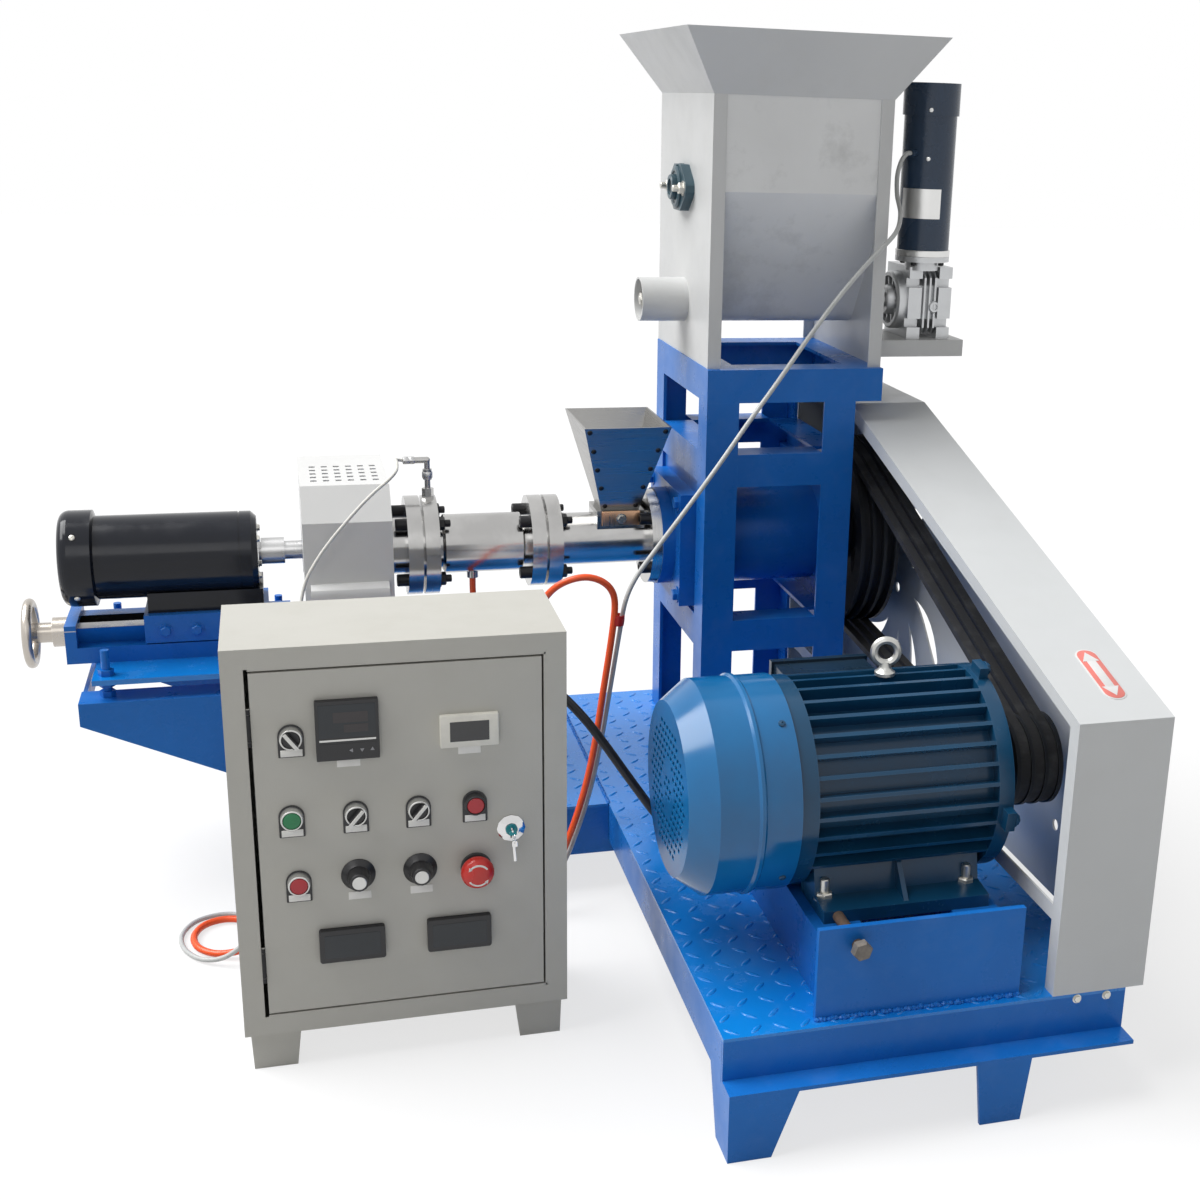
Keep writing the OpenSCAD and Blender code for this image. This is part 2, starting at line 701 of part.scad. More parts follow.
module front_barrel() color(steel) machine() {
    barrel_turning();
    translate([heater_x, 0, screw_h - front_r - 10]) cylinder(r = heater_lead_d / 2 + 4, h = 16);
}
module barrel_turning() on_screw(0) rotate_extrude() {
    neck_r = front_r - 8;
    spigot_r = front_r + 6;
    translate([0, front_left - flange_t]) polygon([[bore_r, 0], [die_flange_r, 0],
        [die_flange_r, flange_t], [neck_r, flange_t], [neck_r, flange_t + neck_len - 4],
        [front_r, flange_t + neck_len], [front_r, flange_t + neck_len + front_len],
        [neck_r, flange_t + neck_len + front_len + 4], [neck_r, flange_t + 2 * neck_len + front_len],
        [mid_flange_r, flange_t + 2 * neck_len + front_len],
        [mid_flange_r, 2 * flange_t + 2 * neck_len + front_len],
        [spigot_r, 2 * flange_t + 2 * neck_len + front_len],
        [spigot_r, 2 * flange_t + 2 * neck_len + front_len + flange_gap],
        [bore_r, 2 * flange_t + 2 * neck_len + front_len + flange_gap]]);
}

module die_head() color(steel) machine() on_screw(0) rotate_extrude()
    polygon([[0, die_face], [die_r - 4, die_face], [die_r, die_face + 4], [die_r, die_right - flange_t],
        [die_flange_r, die_right - flange_t], [die_flange_r, die_right], [front_r + 6, die_right],
        [front_r + 6, die_right + flange_gap], [bore_r, die_right + flange_gap],
        [bore_r, die_right - flange_t], [0, die_right - flange_t - 12]]);

module temperature_probe() color(steel) machine() {
    probe_x = front_left - flange_t / 2;
    seat_z = screw_h + die_flange_r - 1;
    difference() {
        union() {
            translate([probe_x, 0, seat_z]) cylinder(r = 9, h = 14, $fn = 6);
            translate([probe_x, 0, seat_z]) cylinder(r = 4.5, h = probe_h);
            translate([probe_x, 0, seat_z + 28]) cylinder(r = 7, h = 16);
            translate([probe_x, 0, seat_z + probe_h]) rotate([0, -90, 0]) cylinder(r = 5, h = probe_arm);
            translate([probe_x, 0, seat_z + probe_h]) sphere(r = 5);
        }
        on_screw(front_left - flange_t - 1) cylinder(r = die_flange_r, h = flange_t + 2);
    }
}

// A four-sided tapered sheet between two rectangles, each [width, depth, height]
module taper(low, high) hull() for (s = [low, high])
    translate([-s[0] / 2, -s[1] / 2, s[2]]) cube([s[0], s[1], 0.01]);

module feed_funnel() color(steel) machine() translate([-funnel_x, 0, 0]) {
    strip_z = saddle_top + 8;
    difference() {
        union() {
            block([-throat_w / 2 - 8, -throat_d / 2 - 8, saddle_top],
                [throat_w / 2 + 8, throat_d / 2 + 8, strip_z]);
            taper([throat_w, throat_d, strip_z - 1], [funnel_w, funnel_d, funnel_top]);
        }
        taper([throat_w - 2 * funnel_t, throat_d - 2 * funnel_t, strip_z - 1],
            [funnel_w - 2 * funnel_t, funnel_d - 2 * funnel_t, funnel_top + 0.1]);
        block([funnel_t - throat_w / 2, funnel_t - throat_d / 2, saddle_top - 1],
            [throat_w / 2 - funnel_t, throat_d / 2 - funnel_t, strip_z]);
    }
}

// Die cover, hinged on its stand at the back
cover_pin_y = cover_half_low + 9;
cover_pin_r = 4;
module cover_section(inset) polygon([[-cover_half_low + inset, cover_low - 1],
    [-cover_half_low + inset, cover_crease], [-cover_half_top + inset, cover_top - inset],
    [cover_half_low - inset, cover_top - inset], [cover_half_low - inset, cover_low - 1]]);

module die_cover() color(pale_grey) machine() difference() {
    union() {
        sweep_x(cover_left, cover_right) intersection() {
            cover_section(0);
            translate([-cover_half_low, cover_low]) square([2 * cover_half_low, cover_top - cover_low]);
        }
        along_x(cover_left + 30, cover_pin_y, screw_h) cylinder(r = 9, h = cover_right - cover_left - 60);
        block([cover_left + 30, cover_half_low - 1, screw_h - 3],
            [cover_right - 30, cover_pin_y, screw_h + 3]);
        block([cover_left + 8, -cover_half_low - 14, cover_low + 8],
            [cover_right - 8, -cover_half_low + 1, cover_low + 11]);
    }
    sweep_x(cover_left + cover_t, cover_right - cover_t) cover_section(cover_t);
    along_x(cover_left, cover_pin_y, screw_h)
        cylinder(r = cover_pin_r + fit_gap, h = cover_right - cover_left);
    for (side = [[cover_left - 1, cutter_shaft_r + 18], [cover_right - cover_t - 1, die_r + 18]])
        sweep_x(side[0], side[0] + cover_t + 2) {
            translate([0, screw_h]) circle(r = side[1]);
            translate([-side[1], cover_low - 1]) square([2 * side[1], screw_h - cover_low + 1]);
        }
    vent = 9;
    for (i = [0 : 5], j = [0 : 4])
        translate([cover_left + 16 + i * 18, -cover_half_top + 28 + j * 24, cover_top - cover_t - 1])
            cube([vent, vent, cover_t + 2]);
}

module cover_stand() color(frame_blue) machine() {
    for (x = [cover_left + 4, cover_right - 28]) {
        block([x, cover_pin_y - 3, bracket_z], [x + 24, cover_pin_y + 3, screw_h]);
        along_x(x, cover_pin_y, screw_h) cylinder(r = 8, h = 24);
    }
    along_x(cover_left + 4, cover_pin_y, screw_h)
        cylinder(r = cover_pin_r, h = cover_right - cover_left - 8);
}

// Cutter motor on its hand-fed slide
module cutter_motor() color(black) machine() {
    foot_half = slide_w / 2 - 14;
    cap_len = 46;
    edge = 14;
    seam = 1.5;
    bell_len = 26;
    len = cutter_motor_right - cutter_motor_left;
    r = cutter_motor_r;
    on_screw(cutter_motor_left) rotate_extrude() polygon(concat([[0, 0]],
        [for (a = [0 : 15 : 90]) [cutter_cap_r - edge + edge * sin(a), edge - edge * cos(a)]],
        [[cutter_cap_r, cap_len], [r, cap_len + 3], [r, len - bell_len], [r - seam, len - bell_len],
            [r - seam, len - bell_len + 2], [r, len - bell_len + 2], [r, len - 8], [r - 8, len], [0, len]]));
    block([carriage_left + 6, -foot_half, carriage_top],
        [carriage_left + carriage_len - 6, foot_half, screw_h - cutter_motor_r + 16]);
}

module cutter_shaft() color(steel) machine() {
    shaft_left = cutter_motor_right + 1;
    on_screw(shaft_left) cylinder(r = cutter_shaft_r, h = knife_right - shaft_left);
    on_screw(shaft_left + 4) cylinder(r = cutter_shaft_r + 6, h = 34);
    on_screw(knife_right - 18) cylinder(r = cutter_shaft_r + 10, h = 18);
    for (i = [0 : 3]) on_screw(knife_right - knife_t) rotate(i * 90)
        translate([0, -9, 0]) cube([knife_reach, 18, knife_t]);
}

module slide_base() color(frame_blue) machine() difference() {
    union() {
        sweep_x(slide_left, slide_right) polygon([[-slide_w / 2, plate_z], [slide_w / 2, plate_z],
            [slide_w / 2, ledge_z], [dovetail_half_low, ledge_z], [dovetail_half_top, dovetail_z],
            [slot_half, dovetail_z], [slot_half, plate_z + 12], [-slot_half, plate_z + 12],
            [-slot_half, dovetail_z], [-dovetail_half_top, dovetail_z], [-dovetail_half_low, ledge_z],
            [-slide_w / 2, ledge_z]]);
        block([slide_left, -slide_w / 2, plate_z], [slide_left + 16, slide_w / 2, dovetail_z + 8]);
    }
    along_x(slide_left - 1, 0, lead_z) cylinder(r = lead_r + run_gap, h = 18);
}

module slide_carriage() color(frame_blue) machine()
    sweep_x(carriage_left, carriage_left + carriage_len) difference() {
        union() {
            translate([-slide_w / 2, carriage_low]) square([slide_w, carriage_top - carriage_low]);
            translate([-slot_half + 4, lead_z - 14]) square([2 * slot_half - 8, carriage_top - lead_z]);
        }
        for (side = [0, 1]) mirror([side, 0]) polygon([[slot_half - slide_gap - 3.4, carriage_low - 9],
            [dovetail_half_low + slide_gap, carriage_low - 9],
            [dovetail_half_low + slide_gap, ledge_z],
            [dovetail_half_top + slide_gap, dovetail_z + slide_gap],
            [slot_half - slide_gap - 3.4, dovetail_z + slide_gap]]);
        translate([0, lead_z]) circle(r = lead_r + fit_gap);
    }

module handwheel() color(steel) machine() {
    rim_r = 7;
    along_x(handwheel_x, 0, lead_z) cylinder(r = lead_r, h = slide_right - 20 - handwheel_x);
    along_x(slide_left - 22, 0, lead_z) cylinder(r = 22, h = 21);
    along_x(handwheel_x - 14, 0, lead_z) cylinder(r = 15, h = 30);
    along_x(handwheel_x - 15, 0, lead_z) {
        rotate_extrude() translate([handwheel_r - rim_r, 0]) circle(r = rim_r, $fn = 24);
        for (i = [0 : 2]) rotate(i * 120 + 20) rotate([90, 0, 0]) translate([0, 0, -6])
            linear_extrude(12) polygon([[8, 4], [handwheel_r - rim_r, -4], [handwheel_r - rim_r, 3], [8, 12]]);
    }
}

// The studs stand on the bracket and pass through the levelling plate between two nuts
stud_nut_h = 9;
module at_studs() for (x = [slide_left + 58, slide_right - 18], y = [-1, 1])
    translate([x, y * (plate_w / 2 - 24), 0]) children();

module levelling_plate() color(frame_blue) machine() difference() {
    block([slide_left + 40, -plate_w / 2, plate_z - plate_t], [slide_right + 8, plate_w / 2, plate_z]);
    at_studs() translate([0, 0, plate_z - plate_t - 1]) cylinder(r = stud_r + fit_gap, h = plate_t + 2);
}

module levelling_studs() color(steel) machine() at_studs() {
    translate([0, 0, bracket_z]) cylinder(r = stud_r, h = plate_z + stud_out - bracket_z);
    for (z = [bracket_z, plate_z - plate_t - stud_nut_h, plate_z])
        translate([0, 0, z]) cylinder(r = stud_r + 5, h = stud_nut_h, $fn = 6);
}

module bracket_sides() color(frame_blue) machine() for (side = [0, 1]) mirror([0, side, 0]) {
    outer = plate_w / 2 + bracket_t;
    sweep_y(-outer, -outer + bracket_t) polygon([[bracket_left, bracket_z], [bracket_left, bracket_z - 34],
        [wing_left, deck_top], [bracket_right, deck_top], [bracket_right, bracket_z]]);
    block([bracket_left, -outer + bracket_t - 1, bracket_z - bracket_t],
        [bracket_right, -outer + bracket_t + 48, bracket_z]);
}

module bracket_ends() color(frame_blue) machine() {
    block([bracket_left, -plate_w / 2, bracket_z - 34],
        [bracket_left + bracket_t, plate_w / 2, bracket_z - bracket_t]);
    block([bracket_right - bracket_t, -plate_w / 2, deck_top],
        [bracket_right, plate_w / 2, bracket_z - bracket_t]);
}

// Hopper
hopper_mid_y = (hopper_front + hopper_back) / 2;
module hopper_sides() color(pale_grey) machine() {
    for (side = [[hopper_left, 0], [hopper_right, 1]]) translate([side[0], 0, 0]) mirror([side[1], 0, 0])
        difference() {
            union() {
                block([0, hopper_front, tower_top], [sheet_t, hopper_back, flare_z]);
                block([0, hopper_front, tower_top], [fold_w, hopper_front + sheet_t, flare_z]);
                block([0, hopper_back - sheet_t, tower_top], [fold_w, hopper_back, flare_z]);
            }
            along_x(-1, 0, auger_z)
                cylinder(r = side[1] == 0 ? auger_tube_r - sheet_t : feed_shaft_r + run_gap, h = sheet_t + 2);
            along_x(-1, 0, agitator_z) cylinder(r = feed_shaft_r + run_gap, h = sheet_t + 2);
        }
}

// The trough's outline: upright sheets that turn in at the crease to a round bottom
module trough_outline(inset) {
    r = auger_tube_r - inset;
    front = hopper_front + sheet_t + inset;
    back = hopper_back - sheet_t - inset;
    top = flare_z + (inset > 0 ? 1 : 0);
    translate([0, auger_z]) circle(r = r);
    polygon([[front, top], [front, crease_z], [-0.87 * r, auger_z - 0.5 * r], [0.87 * r, auger_z - 0.5 * r],
        [back, crease_z], [back, top]]);
}

module hopper_trough() color(pale_grey) machine()
    sweep_x(hopper_left + sheet_t, hopper_right - sheet_t) difference() {
        trough_outline(0);
        trough_outline(sheet_t);
    }

module hopper_flare() color(pale_grey) machine()
    translate([(hopper_left + hopper_right) / 2, hopper_mid_y, 0]) {
        w = hopper_right - hopper_left;
        d = hopper_back - hopper_front;
        in2 = 2 * sheet_t;
        difference() {
            taper([w, d, flare_z], [w + 2 * flare_out_x, d + 2 * flare_out_y, hopper_top - 0.01]);
            taper([w - in2, d - in2, flare_z - 0.01],
                [w + 2 * flare_out_x - in2, d + 2 * flare_out_y - in2, hopper_top]);
        }
    }

module auger_tube() color(pale_grey) machine() along_x(hopper_left - auger_tube_out, 0, auger_z)
    difference() {
        cylinder(r = auger_tube_r, h = auger_tube_out);
        translate([0, 0, -1]) cylinder(r = auger_tube_r - sheet_t, h = auger_tube_out + 2);
    }

module feed_auger() color(steel) machine() {
    auger_left = hopper_left - auger_tube_out + 12;
    flight_len = hopper_right - sheet_t - 6 - auger_left;
    auger_r = auger_tube_r - sheet_t - 2;
    auger_pitch = 48;
    along_x(auger_left, 0, auger_z) cylinder(r = feed_shaft_r, h = gearbox_left - 1 - auger_left);
    along_x(auger_left, 0, auger_z) screw_flight(flight_len, auger_pitch, feed_shaft_r - 2, auger_r, 6);
    along_x(chain_x, 0, auger_z) cylinder(r = auger_sprocket_r, h = chain_w);
}

module agitator() color(steel) machine() {
    shaft_left = hopper_left - bearing_t - 6;
    along_x(shaft_left, 0, agitator_z) cylinder(r = feed_shaft_r, h = chain_x + chain_w + 6 - shaft_left);
    along_x(chain_x, 0, agitator_z) cylinder(r = agitator_sprocket_r, h = chain_w);
    for (i = [0 : 3]) translate([hopper_left + 52 + i * 56, 0, agitator_z]) rotate([i * 45, 0, 0])
        cylinder(r = 6, h = 150, center = true);
}

module agitator_bearings() color(steel) machine() for (side = [[hopper_left, 1], [hopper_right, 0]])
    translate([side[0], 0, agitator_z]) mirror([side[1], 0, 0]) rotate([0, 90, 0]) difference() {
        union() {
            hull() for (y = [-36, 36]) {
                translate([0, y, 0]) cylinder(r = 12, h = 9, $fn = 24);
                cylinder(r = 27, h = 9, $fn = 32);
            }
            cylinder(r = 24, h = bearing_t);
        }
        translate([0, 0, -1]) cylinder(r = feed_shaft_r + fit_gap, h = bearing_t + 2);
        for (y = [-36, 36]) translate([0, y, -1]) cylinder(r = 5, h = 12);
    }

module feed_chain() color(steel) machine() sweep_x(chain_x, chain_x + chain_w) difference() {
    loop_outline([0, auger_z], auger_sprocket_r + loop_gap + 8,
        [0, agitator_z], agitator_sprocket_r + loop_gap + 8);
    loop_outline([0, auger_z], auger_sprocket_r + loop_gap, [0, agitator_z], agitator_sprocket_r + loop_gap);
}

// Feeder drive
module feeder_gearbox() color([0.72, 0.73, 0.74]) machine() {
    half_d = gearbox_d / 2;
    edge = 12;
    sweep_x(gearbox_left, gearbox_left + gearbox_w) polygon([[-half_d + edge, shelf_top],
        [half_d - edge, shelf_top], [half_d, shelf_top + edge], [half_d, gearbox_top - edge],
        [half_d - edge, gearbox_top], [-half_d + edge, gearbox_top], [-half_d, gearbox_top - edge],
        [-half_d, shelf_top + edge]]);
    difference() {
        along_x(gearbox_left - 8, 0, auger_z) cylinder(r = 32, h = 9);
        along_x(gearbox_left - 9, 0, auger_z) cylinder(r = feed_shaft_r + run_gap, h = 9);
    }
    translate([gearbox_mid, -worm_y, gearbox_top - 1]) cylinder(r = 45, h = worm_flange_h + 1);
    translate([gearbox_mid + 24, -half_d, shelf_top + 40]) rotate([90, 0, 0]) cylinder(r = 13, h = 6);
    for (i = [0 : 3]) block([gearbox_left + 10, -half_d - 5, shelf_top + 62 + i * 10],
        [gearbox_left + gearbox_w - 10, -half_d + 1, shelf_top + 66 + i * 10]);
}

module feeder_motor() color([0.08, 0.1, 0.16]) machine()
    translate([gearbox_mid, -worm_y, feeder_motor_z]) {
        cap_z = feeder_motor_h - feeder_cap_h;
        cylinder(r = feeder_motor_r, h = cap_z);
        translate([0, 0, cap_z]) cylinder(r = feeder_motor_r + 3, h = feeder_cap_h);
        translate([-20, feeder_motor_r - 8, cap_z - 60]) cube([40, 26, 50]);
        translate([0, 0, feeder_gland_z - feeder_motor_z]) rotate([0, 90, feeder_gland_turn])
            cylinder(r = feeder_cable_d / 2 + 3, h = feeder_motor_r + feeder_gland_len);
    }

module gearbox_shelf() color(pale_grey) machine() {
    half = 66;
    block([ring_w, -half, shelf_top - shelf_t], [shelf_right, half, shelf_top]);
    for (y = [-half, half - shelf_t]) block([ring_w, y, shelf_top - 26],
        [shelf_right, y + shelf_t, shelf_top - 1]);
    block([ring_w, -half, ring_low], [ring_w + shelf_t, half, shelf_top - 1]);
}

// Main motor
module on_motor(x) along_x(x, -motor_y, motor_z) children();

module motor_frame() color(teal) machine() {
    body_left = motor_left + 22;
    body_len = motor_right - bell_t - body_left;
    foot_x = (2 * body_left + body_len) / 2;
    foot_half = motor_y_feet / 2;
    translate([0, -motor_y, motor_z]) {
        along_x(body_left, 0, 0) cylinder(r = motor_core_r, h = body_len);
        sweep_x(body_left, body_left + body_len) for (i = [0 : fin_count - 1])
            if (sin(360 * i / fin_count) > -0.62) rotate(360 * i / fin_count)
                translate([motor_core_r - 3, -fin_t / 2]) square([fin_r - motor_core_r + 3, fin_t]);
        block([body_left + 60, motor_core_r - 14, terminal_z + 10 - motor_z],
            [body_left + 150, fin_r + 4, terminal_z + 90 - motor_z]);
        for (side = [0, 1]) mirror([0, side, 0]) {
            sweep_x(body_left + 8, body_left + body_len - 8)
                polygon([[-foot_half, -motor_axis_h], [-foot_half, 16 - motor_axis_h],
                    [36 - foot_half, 20 - motor_axis_h], [50 - foot_half, -60], [80 - foot_half, -70],
                    [90 - foot_half, 20 - motor_axis_h], [90 - foot_half, -motor_axis_h]]);
            sweep_x(foot_x - 3, foot_x + 3) polygon([[4 - foot_half, 15 - motor_axis_h], [54 - foot_half, -58],
                [54 - foot_half, 15 - motor_axis_h]]);
        }
    }
}

module motor_end_bells() color(teal) machine() {
    on_motor(motor_left - spigot_len) cylinder(r = fin_r + cowl_step - cowl_t, h = spigot_len + 22);
    difference() {
        on_motor(motor_right - bell_t) union() {
            cylinder(r = fin_r, h = 20);
            for (i = [0 : 3]) rotate(lug_turn + 90 * i) translate([fin_r - 10, -13, 6]) cube([24, 26, 12]);
            translate([0, 0, 19]) cylinder(r1 = fin_r - 8, r2 = fin_r - 40, h = 17);
            translate([0, 0, 19]) cylinder(r = 60, h = 24);
        }
        on_motor(motor_right - bell_t - 1) cylinder(r = motor_shaft_r + run_gap, h = bell_t + 14);
    }
}

// Fan cowl: a spun cover with a bead, its disc pierced by staggered slots round a blank ring
module motor_cowl() color(teal) machine() {
    len = motor_left - cowl_left;
    disc_r = fin_r - 21;
    outer = fin_r + cowl_step;
    bead_x = cowl_cone + 52;
    bead_half = 5;
    slot_h = 6;
    slot_w = 9;
    row = 11;
    column = 14;
    blank = [20, 34];
    rows = floor(grille_r / row);
    columns = floor(grille_r / column);
    difference() {
        on_motor(cowl_left) rotate_extrude() polygon([[0, 0], [disc_r, 0], [outer, cowl_cone],
            [outer, bead_x - bead_half], [outer + 3, bead_x - 2], [outer + 3, bead_x + 2],
            [outer, bead_x + bead_half], [outer, len], [outer - cowl_t, len],
            [outer - cowl_t, cowl_cone + 1], [disc_r - 1, cowl_t], [0, cowl_t]]);
        on_motor(cowl_left - 1) linear_extrude(cowl_t + 2)
            for (i = [-rows : rows], j = [-columns : columns]) {
                y = (j + (abs(i) % 2) / 2) * column;
                reach = norm([i * row, y]);
                if (reach < grille_r && (reach < blank[0] || reach > blank[1]))
                    translate([i * row, y]) square([slot_h, slot_w], center = true);
            }
    }
}

module terminal_box() color(teal) machine() {
    x0 = motor_left + 22 + 40;
    y0 = -motor_y + fin_r + 4;
    y1 = y0 + terminal_d;
    lip = 4;
    block([x0, y0, terminal_z], [x0 + terminal_w, y1, terminal_z + terminal_h]);
    block([x0 - lip, y1, terminal_z - lip],
        [x0 + terminal_w + lip, y1 + terminal_lid, terminal_z + terminal_h + lip]);
    translate([motor_cable_route[0][0], motor_cable_route[0][1], terminal_z - gland_len])
        cylinder(r = motor_cable_d / 2 + 5, h = gland_len + 1);
}

module lifting_eye() color(teal) machine()
    translate([(motor_left + motor_right) / 2, -motor_y, motor_z + fin_r]) {
    translate([0, 0, 28]) rotate([0, 90, 0]) rotate_extrude() translate([15, 0]) circle(r = 5, $fn = 24);
    cylinder(r = 7, h = 15);
    cylinder(r = 13, h = 5);
}

rail_front = deck_front + 22;
rail_back = -motor_y + 160;
module motor_rails() color(frame_blue) machine() for (x = rails_x) difference() {
    block([x, rail_front, deck_top], [x + rail_w, rail_back, motor_foot_z]);
    block([x + rail_wall, rail_front - 1, deck_top - 1],
        [x + rail_w - rail_wall, rail_back + 1, motor_foot_z - rail_wall - 2]);
}

module motor_base_plate() color(frame_blue) machine() difference() {
    block([rails_x[0] - base_plate_out, rail_front - base_plate_t, deck_top],
        [rails_x[1] + rail_w + 5, rail_front, deck_top + base_plate_h]);
    translate([tension_x, rail_front - base_plate_t - 1, tension_z]) rotate([-90, 0, 0])
        cylinder(r = tension_r + fit_gap, h = base_plate_t + 2);
}

// The belts' tension bolt reaches through the base plate to the motor's foot
module tension_bolts() color([0.35, 0.25, 0.18]) machine()
    translate([tension_x, rail_front - 40, tension_z]) rotate([-90, 0, 0]) {
        cylinder(r = tension_r, h = 40 - rail_front - motor_y - motor_y_feet / 2);
        cylinder(r = tension_r + 5, h = 10, $fn = 6);
        translate([0, 0, 22]) cylinder(r = tension_r + 5, h = 10, $fn = 6);
    }

module motor_pulley() color(steel) machine() {
    on_motor(pulley_x) grooved_pulley(motor_pulley_r);
    on_motor(motor_right - 10) cylinder(r = motor_shaft_r, h = pulley_x + pulley_w + 4 - motor_right + 10);
}

module drive_belts() color(black) machine() for (i = [0 : belt_count - 1]) {
    mid = pulley_x + 13 + i * belt_pitch;
    sweep_x(mid - belt_w / 2, mid + belt_w / 2) difference() {
        loop_outline([0, screw_h], pulley_r - belt_out_gap,
            [-motor_y, motor_z], motor_pulley_r - belt_out_gap);
        loop_outline([0, screw_h], pulley_r - belt_out_gap - belt_h,
            [-motor_y, motor_z], motor_pulley_r - belt_out_gap - belt_h);
    }
}

// Belt guard: a folded wrap with a rim on its open side, and a flat far side with vents
module guard_outline(inset) polygon([[deck_front + inset, deck_top],
    [deck_front + inset, guard_front_z - inset / 2],
    [guard_bend_y, guard_top_z - inset], [guard_back_y - inset, guard_top_z - inset],
    [guard_back_y - inset, deck_top]]);

module guard_wrap() color(pale_grey) machine() {
    sweep_x(guard_left + guard_t, guard_right - guard_t) difference() {
        guard_outline(0);
        translate([0, -1]) guard_outline(guard_t);
        translate([deck_front + guard_t, deck_top - 2])
            square([guard_back_y - deck_front - 2 * guard_t, 4]);
    }
    sweep_x(guard_left, guard_left + guard_t) difference() {
        guard_outline(0);
        difference() {
            guard_outline(guard_rim);
            translate([deck_front, guard_bar_z]) square([guard_back_y - deck_front, guard_bar_h]);
        }
        translate([deck_front + guard_rim, deck_top - 1])
            square([guard_back_y - deck_front - 2 * guard_rim, guard_bar_z - deck_top + 1]);
    }
}

// One curved vent: pointed at its start, broad and rounded at its end
function vent_side(sign) = [for (k = [0 : 8]) let (t = k / 8, r = vent_in_r + (vent_out_r - vent_in_r) * t,
    half = vent_width / 2 * sin(155 * t), a = vent_sweep * t + sign * half) r * [cos(a), sin(a)]];
module curved_vent() {
    back = vent_side(1);
    polygon(concat(vent_side(-1), [for (k = [8 : -1 : 1]) back[k]]));
}

module guard_side() color(pale_grey) machine()
    sweep_x(guard_right - guard_t, guard_right) difference() {
        guard_outline(0);
        translate([vent_y, vent_z]) {
            circle(r = 8);
            for (i = [0 : vent_count - 1]) rotate(vent_start + 360 * i / vent_count) curved_vent();
        }
        translate([sight_y, sight_z]) circle(r = 8);
    }

// Control cabinet
module cabinet_box() color(cabinet_grey) machine() {
    t = cabinet_t;
    difference() {
        block([cabinet_left, cabinet_front, cabinet_low], [cabinet_right, cabinet_back, cabinet_top]);
        block([cabinet_left + t, cabinet_front + t, cabinet_low + t],
            [cabinet_right - t, cabinet_back - t, cabinet_top - t]);
        block([door_left - door_gap, cabinet_front - 1, door_low - door_gap],
            [door_left + door_w + door_gap, cabinet_front + t + 1, door_low + door_h + door_gap]);
    }
    for (g = cabinet_glands) translate([cabinet_left + g[0], cabinet_back - t, cabinet_low + g[1]])
        rotate([-90, 0, 0]) cylinder(r = g[2] / 2 + 5, h = gland_len + t);
    for (z = [door_low + 50, door_low + door_h - 50 - hinge_len])
        for (end = [[-6.5, 6], [hinge_len + 0.5, 6]]) {
            translate([hinge_x, hinge_y, z + end[0]]) cylinder(r = 2.2, h = end[1], $fn = 24);
            block([door_left - door_gap - 1, cabinet_front, z + end[0]],
                [hinge_x, cabinet_front + t, z + end[0] + end[1]]);
            translate([hinge_x, hinge_y, z - 1]) cylinder(r = hinge_pin_r, h = hinge_len + 2, $fn = 24);
        }
}

module cabinet_feet() color(cabinet_grey) machine()
    translate([(cabinet_left + cabinet_right) / 2, (cabinet_front + cabinet_back) / 2, 0])
        for (mx = [0, 1], my = [0, 1]) mirror([mx, 0, 0]) mirror([0, my, 0])
            translate([-cabinet_w / 2, -cabinet_d / 2, 0])
                folded_foot(cabinet_foot_h, cabinet_foot_top, cabinet_foot_low, 2 * cabinet_t);

module cabinet_door() color(cabinet_grey) machine() {
    t = cabinet_t;
    difference() {
        block([door_left, cabinet_front, door_low],
            [door_left + door_w, cabinet_front + door_fold, door_low + door_h]);
        block([door_left + t, cabinet_front + t, door_low + t],
            [door_left + door_w - t, cabinet_front + door_fold + 1, door_low + door_h - t]);
    }
    for (z = [door_low + 50, door_low + door_h - 50 - hinge_len]) difference() {
        union() {
            translate([hinge_x, hinge_y, z]) cylinder(r = 2.2, h = hinge_len, $fn = 24);
            block([hinge_x, hinge_y, z], [door_left + 1, hinge_y + cabinet_t, z + hinge_len]);
        }
        translate([hinge_x, hinge_y, z - 1]) cylinder(r = hinge_pin_r + fit_gap, h = hinge_len + 2, $fn = 24);
    }
}

// Panel fittings stand on the door's front, placed from the cabinet's lower left corner
module on_panel(x, z)
    translate([cabinet_left + x, cabinet_front, cabinet_low + z]) rotate([90, 0, 0]) children();

module panel_buttons() color([0.3, 0.3, 0.3]) machine() {
    for (p = [[70, 286], [286, 286], [74, 200]]) on_panel(p[0], p[1]) {
        cylinder(r = 15, h = 4);
        cylinder(r = 11, h = 14);
    }
    on_panel(286, 197) {
        cylinder(r = 14, h = 16);
        translate([0, 0, 15]) cylinder(r = 20, h = 15);
    }
}

module panel_knobs() color(black) machine() {
    for (p = [[74, 386], [144, 285], [218, 285]]) on_panel(p[0], p[1]) {
        cylinder(r = 15, h = 5);
        translate([-4, -13, 4]) cube([8, 26, 16]);
    }
    for (p = [[144, 203], [218, 203]]) on_panel(p[0], p[1]) {
        cylinder(r = 18, h = 6);
        cylinder(r = 13, h = 22);
    }
}

module panel_meters() color(black) machine() {
    for (m = [[94, 94, 79, 44], [224, 94, 79, 44], [102, 361, 73, 75], [246, 366, 70, 41]])
        on_panel(m[0], m[1]) cube([m[2], m[3], 9]);
}

module door_lock() color(steel) machine() on_panel(cabinet_w - door_side - 37.5, 250) {
    cylinder(r = 13, h = 5);
    cylinder(r = 9, h = 12);
}

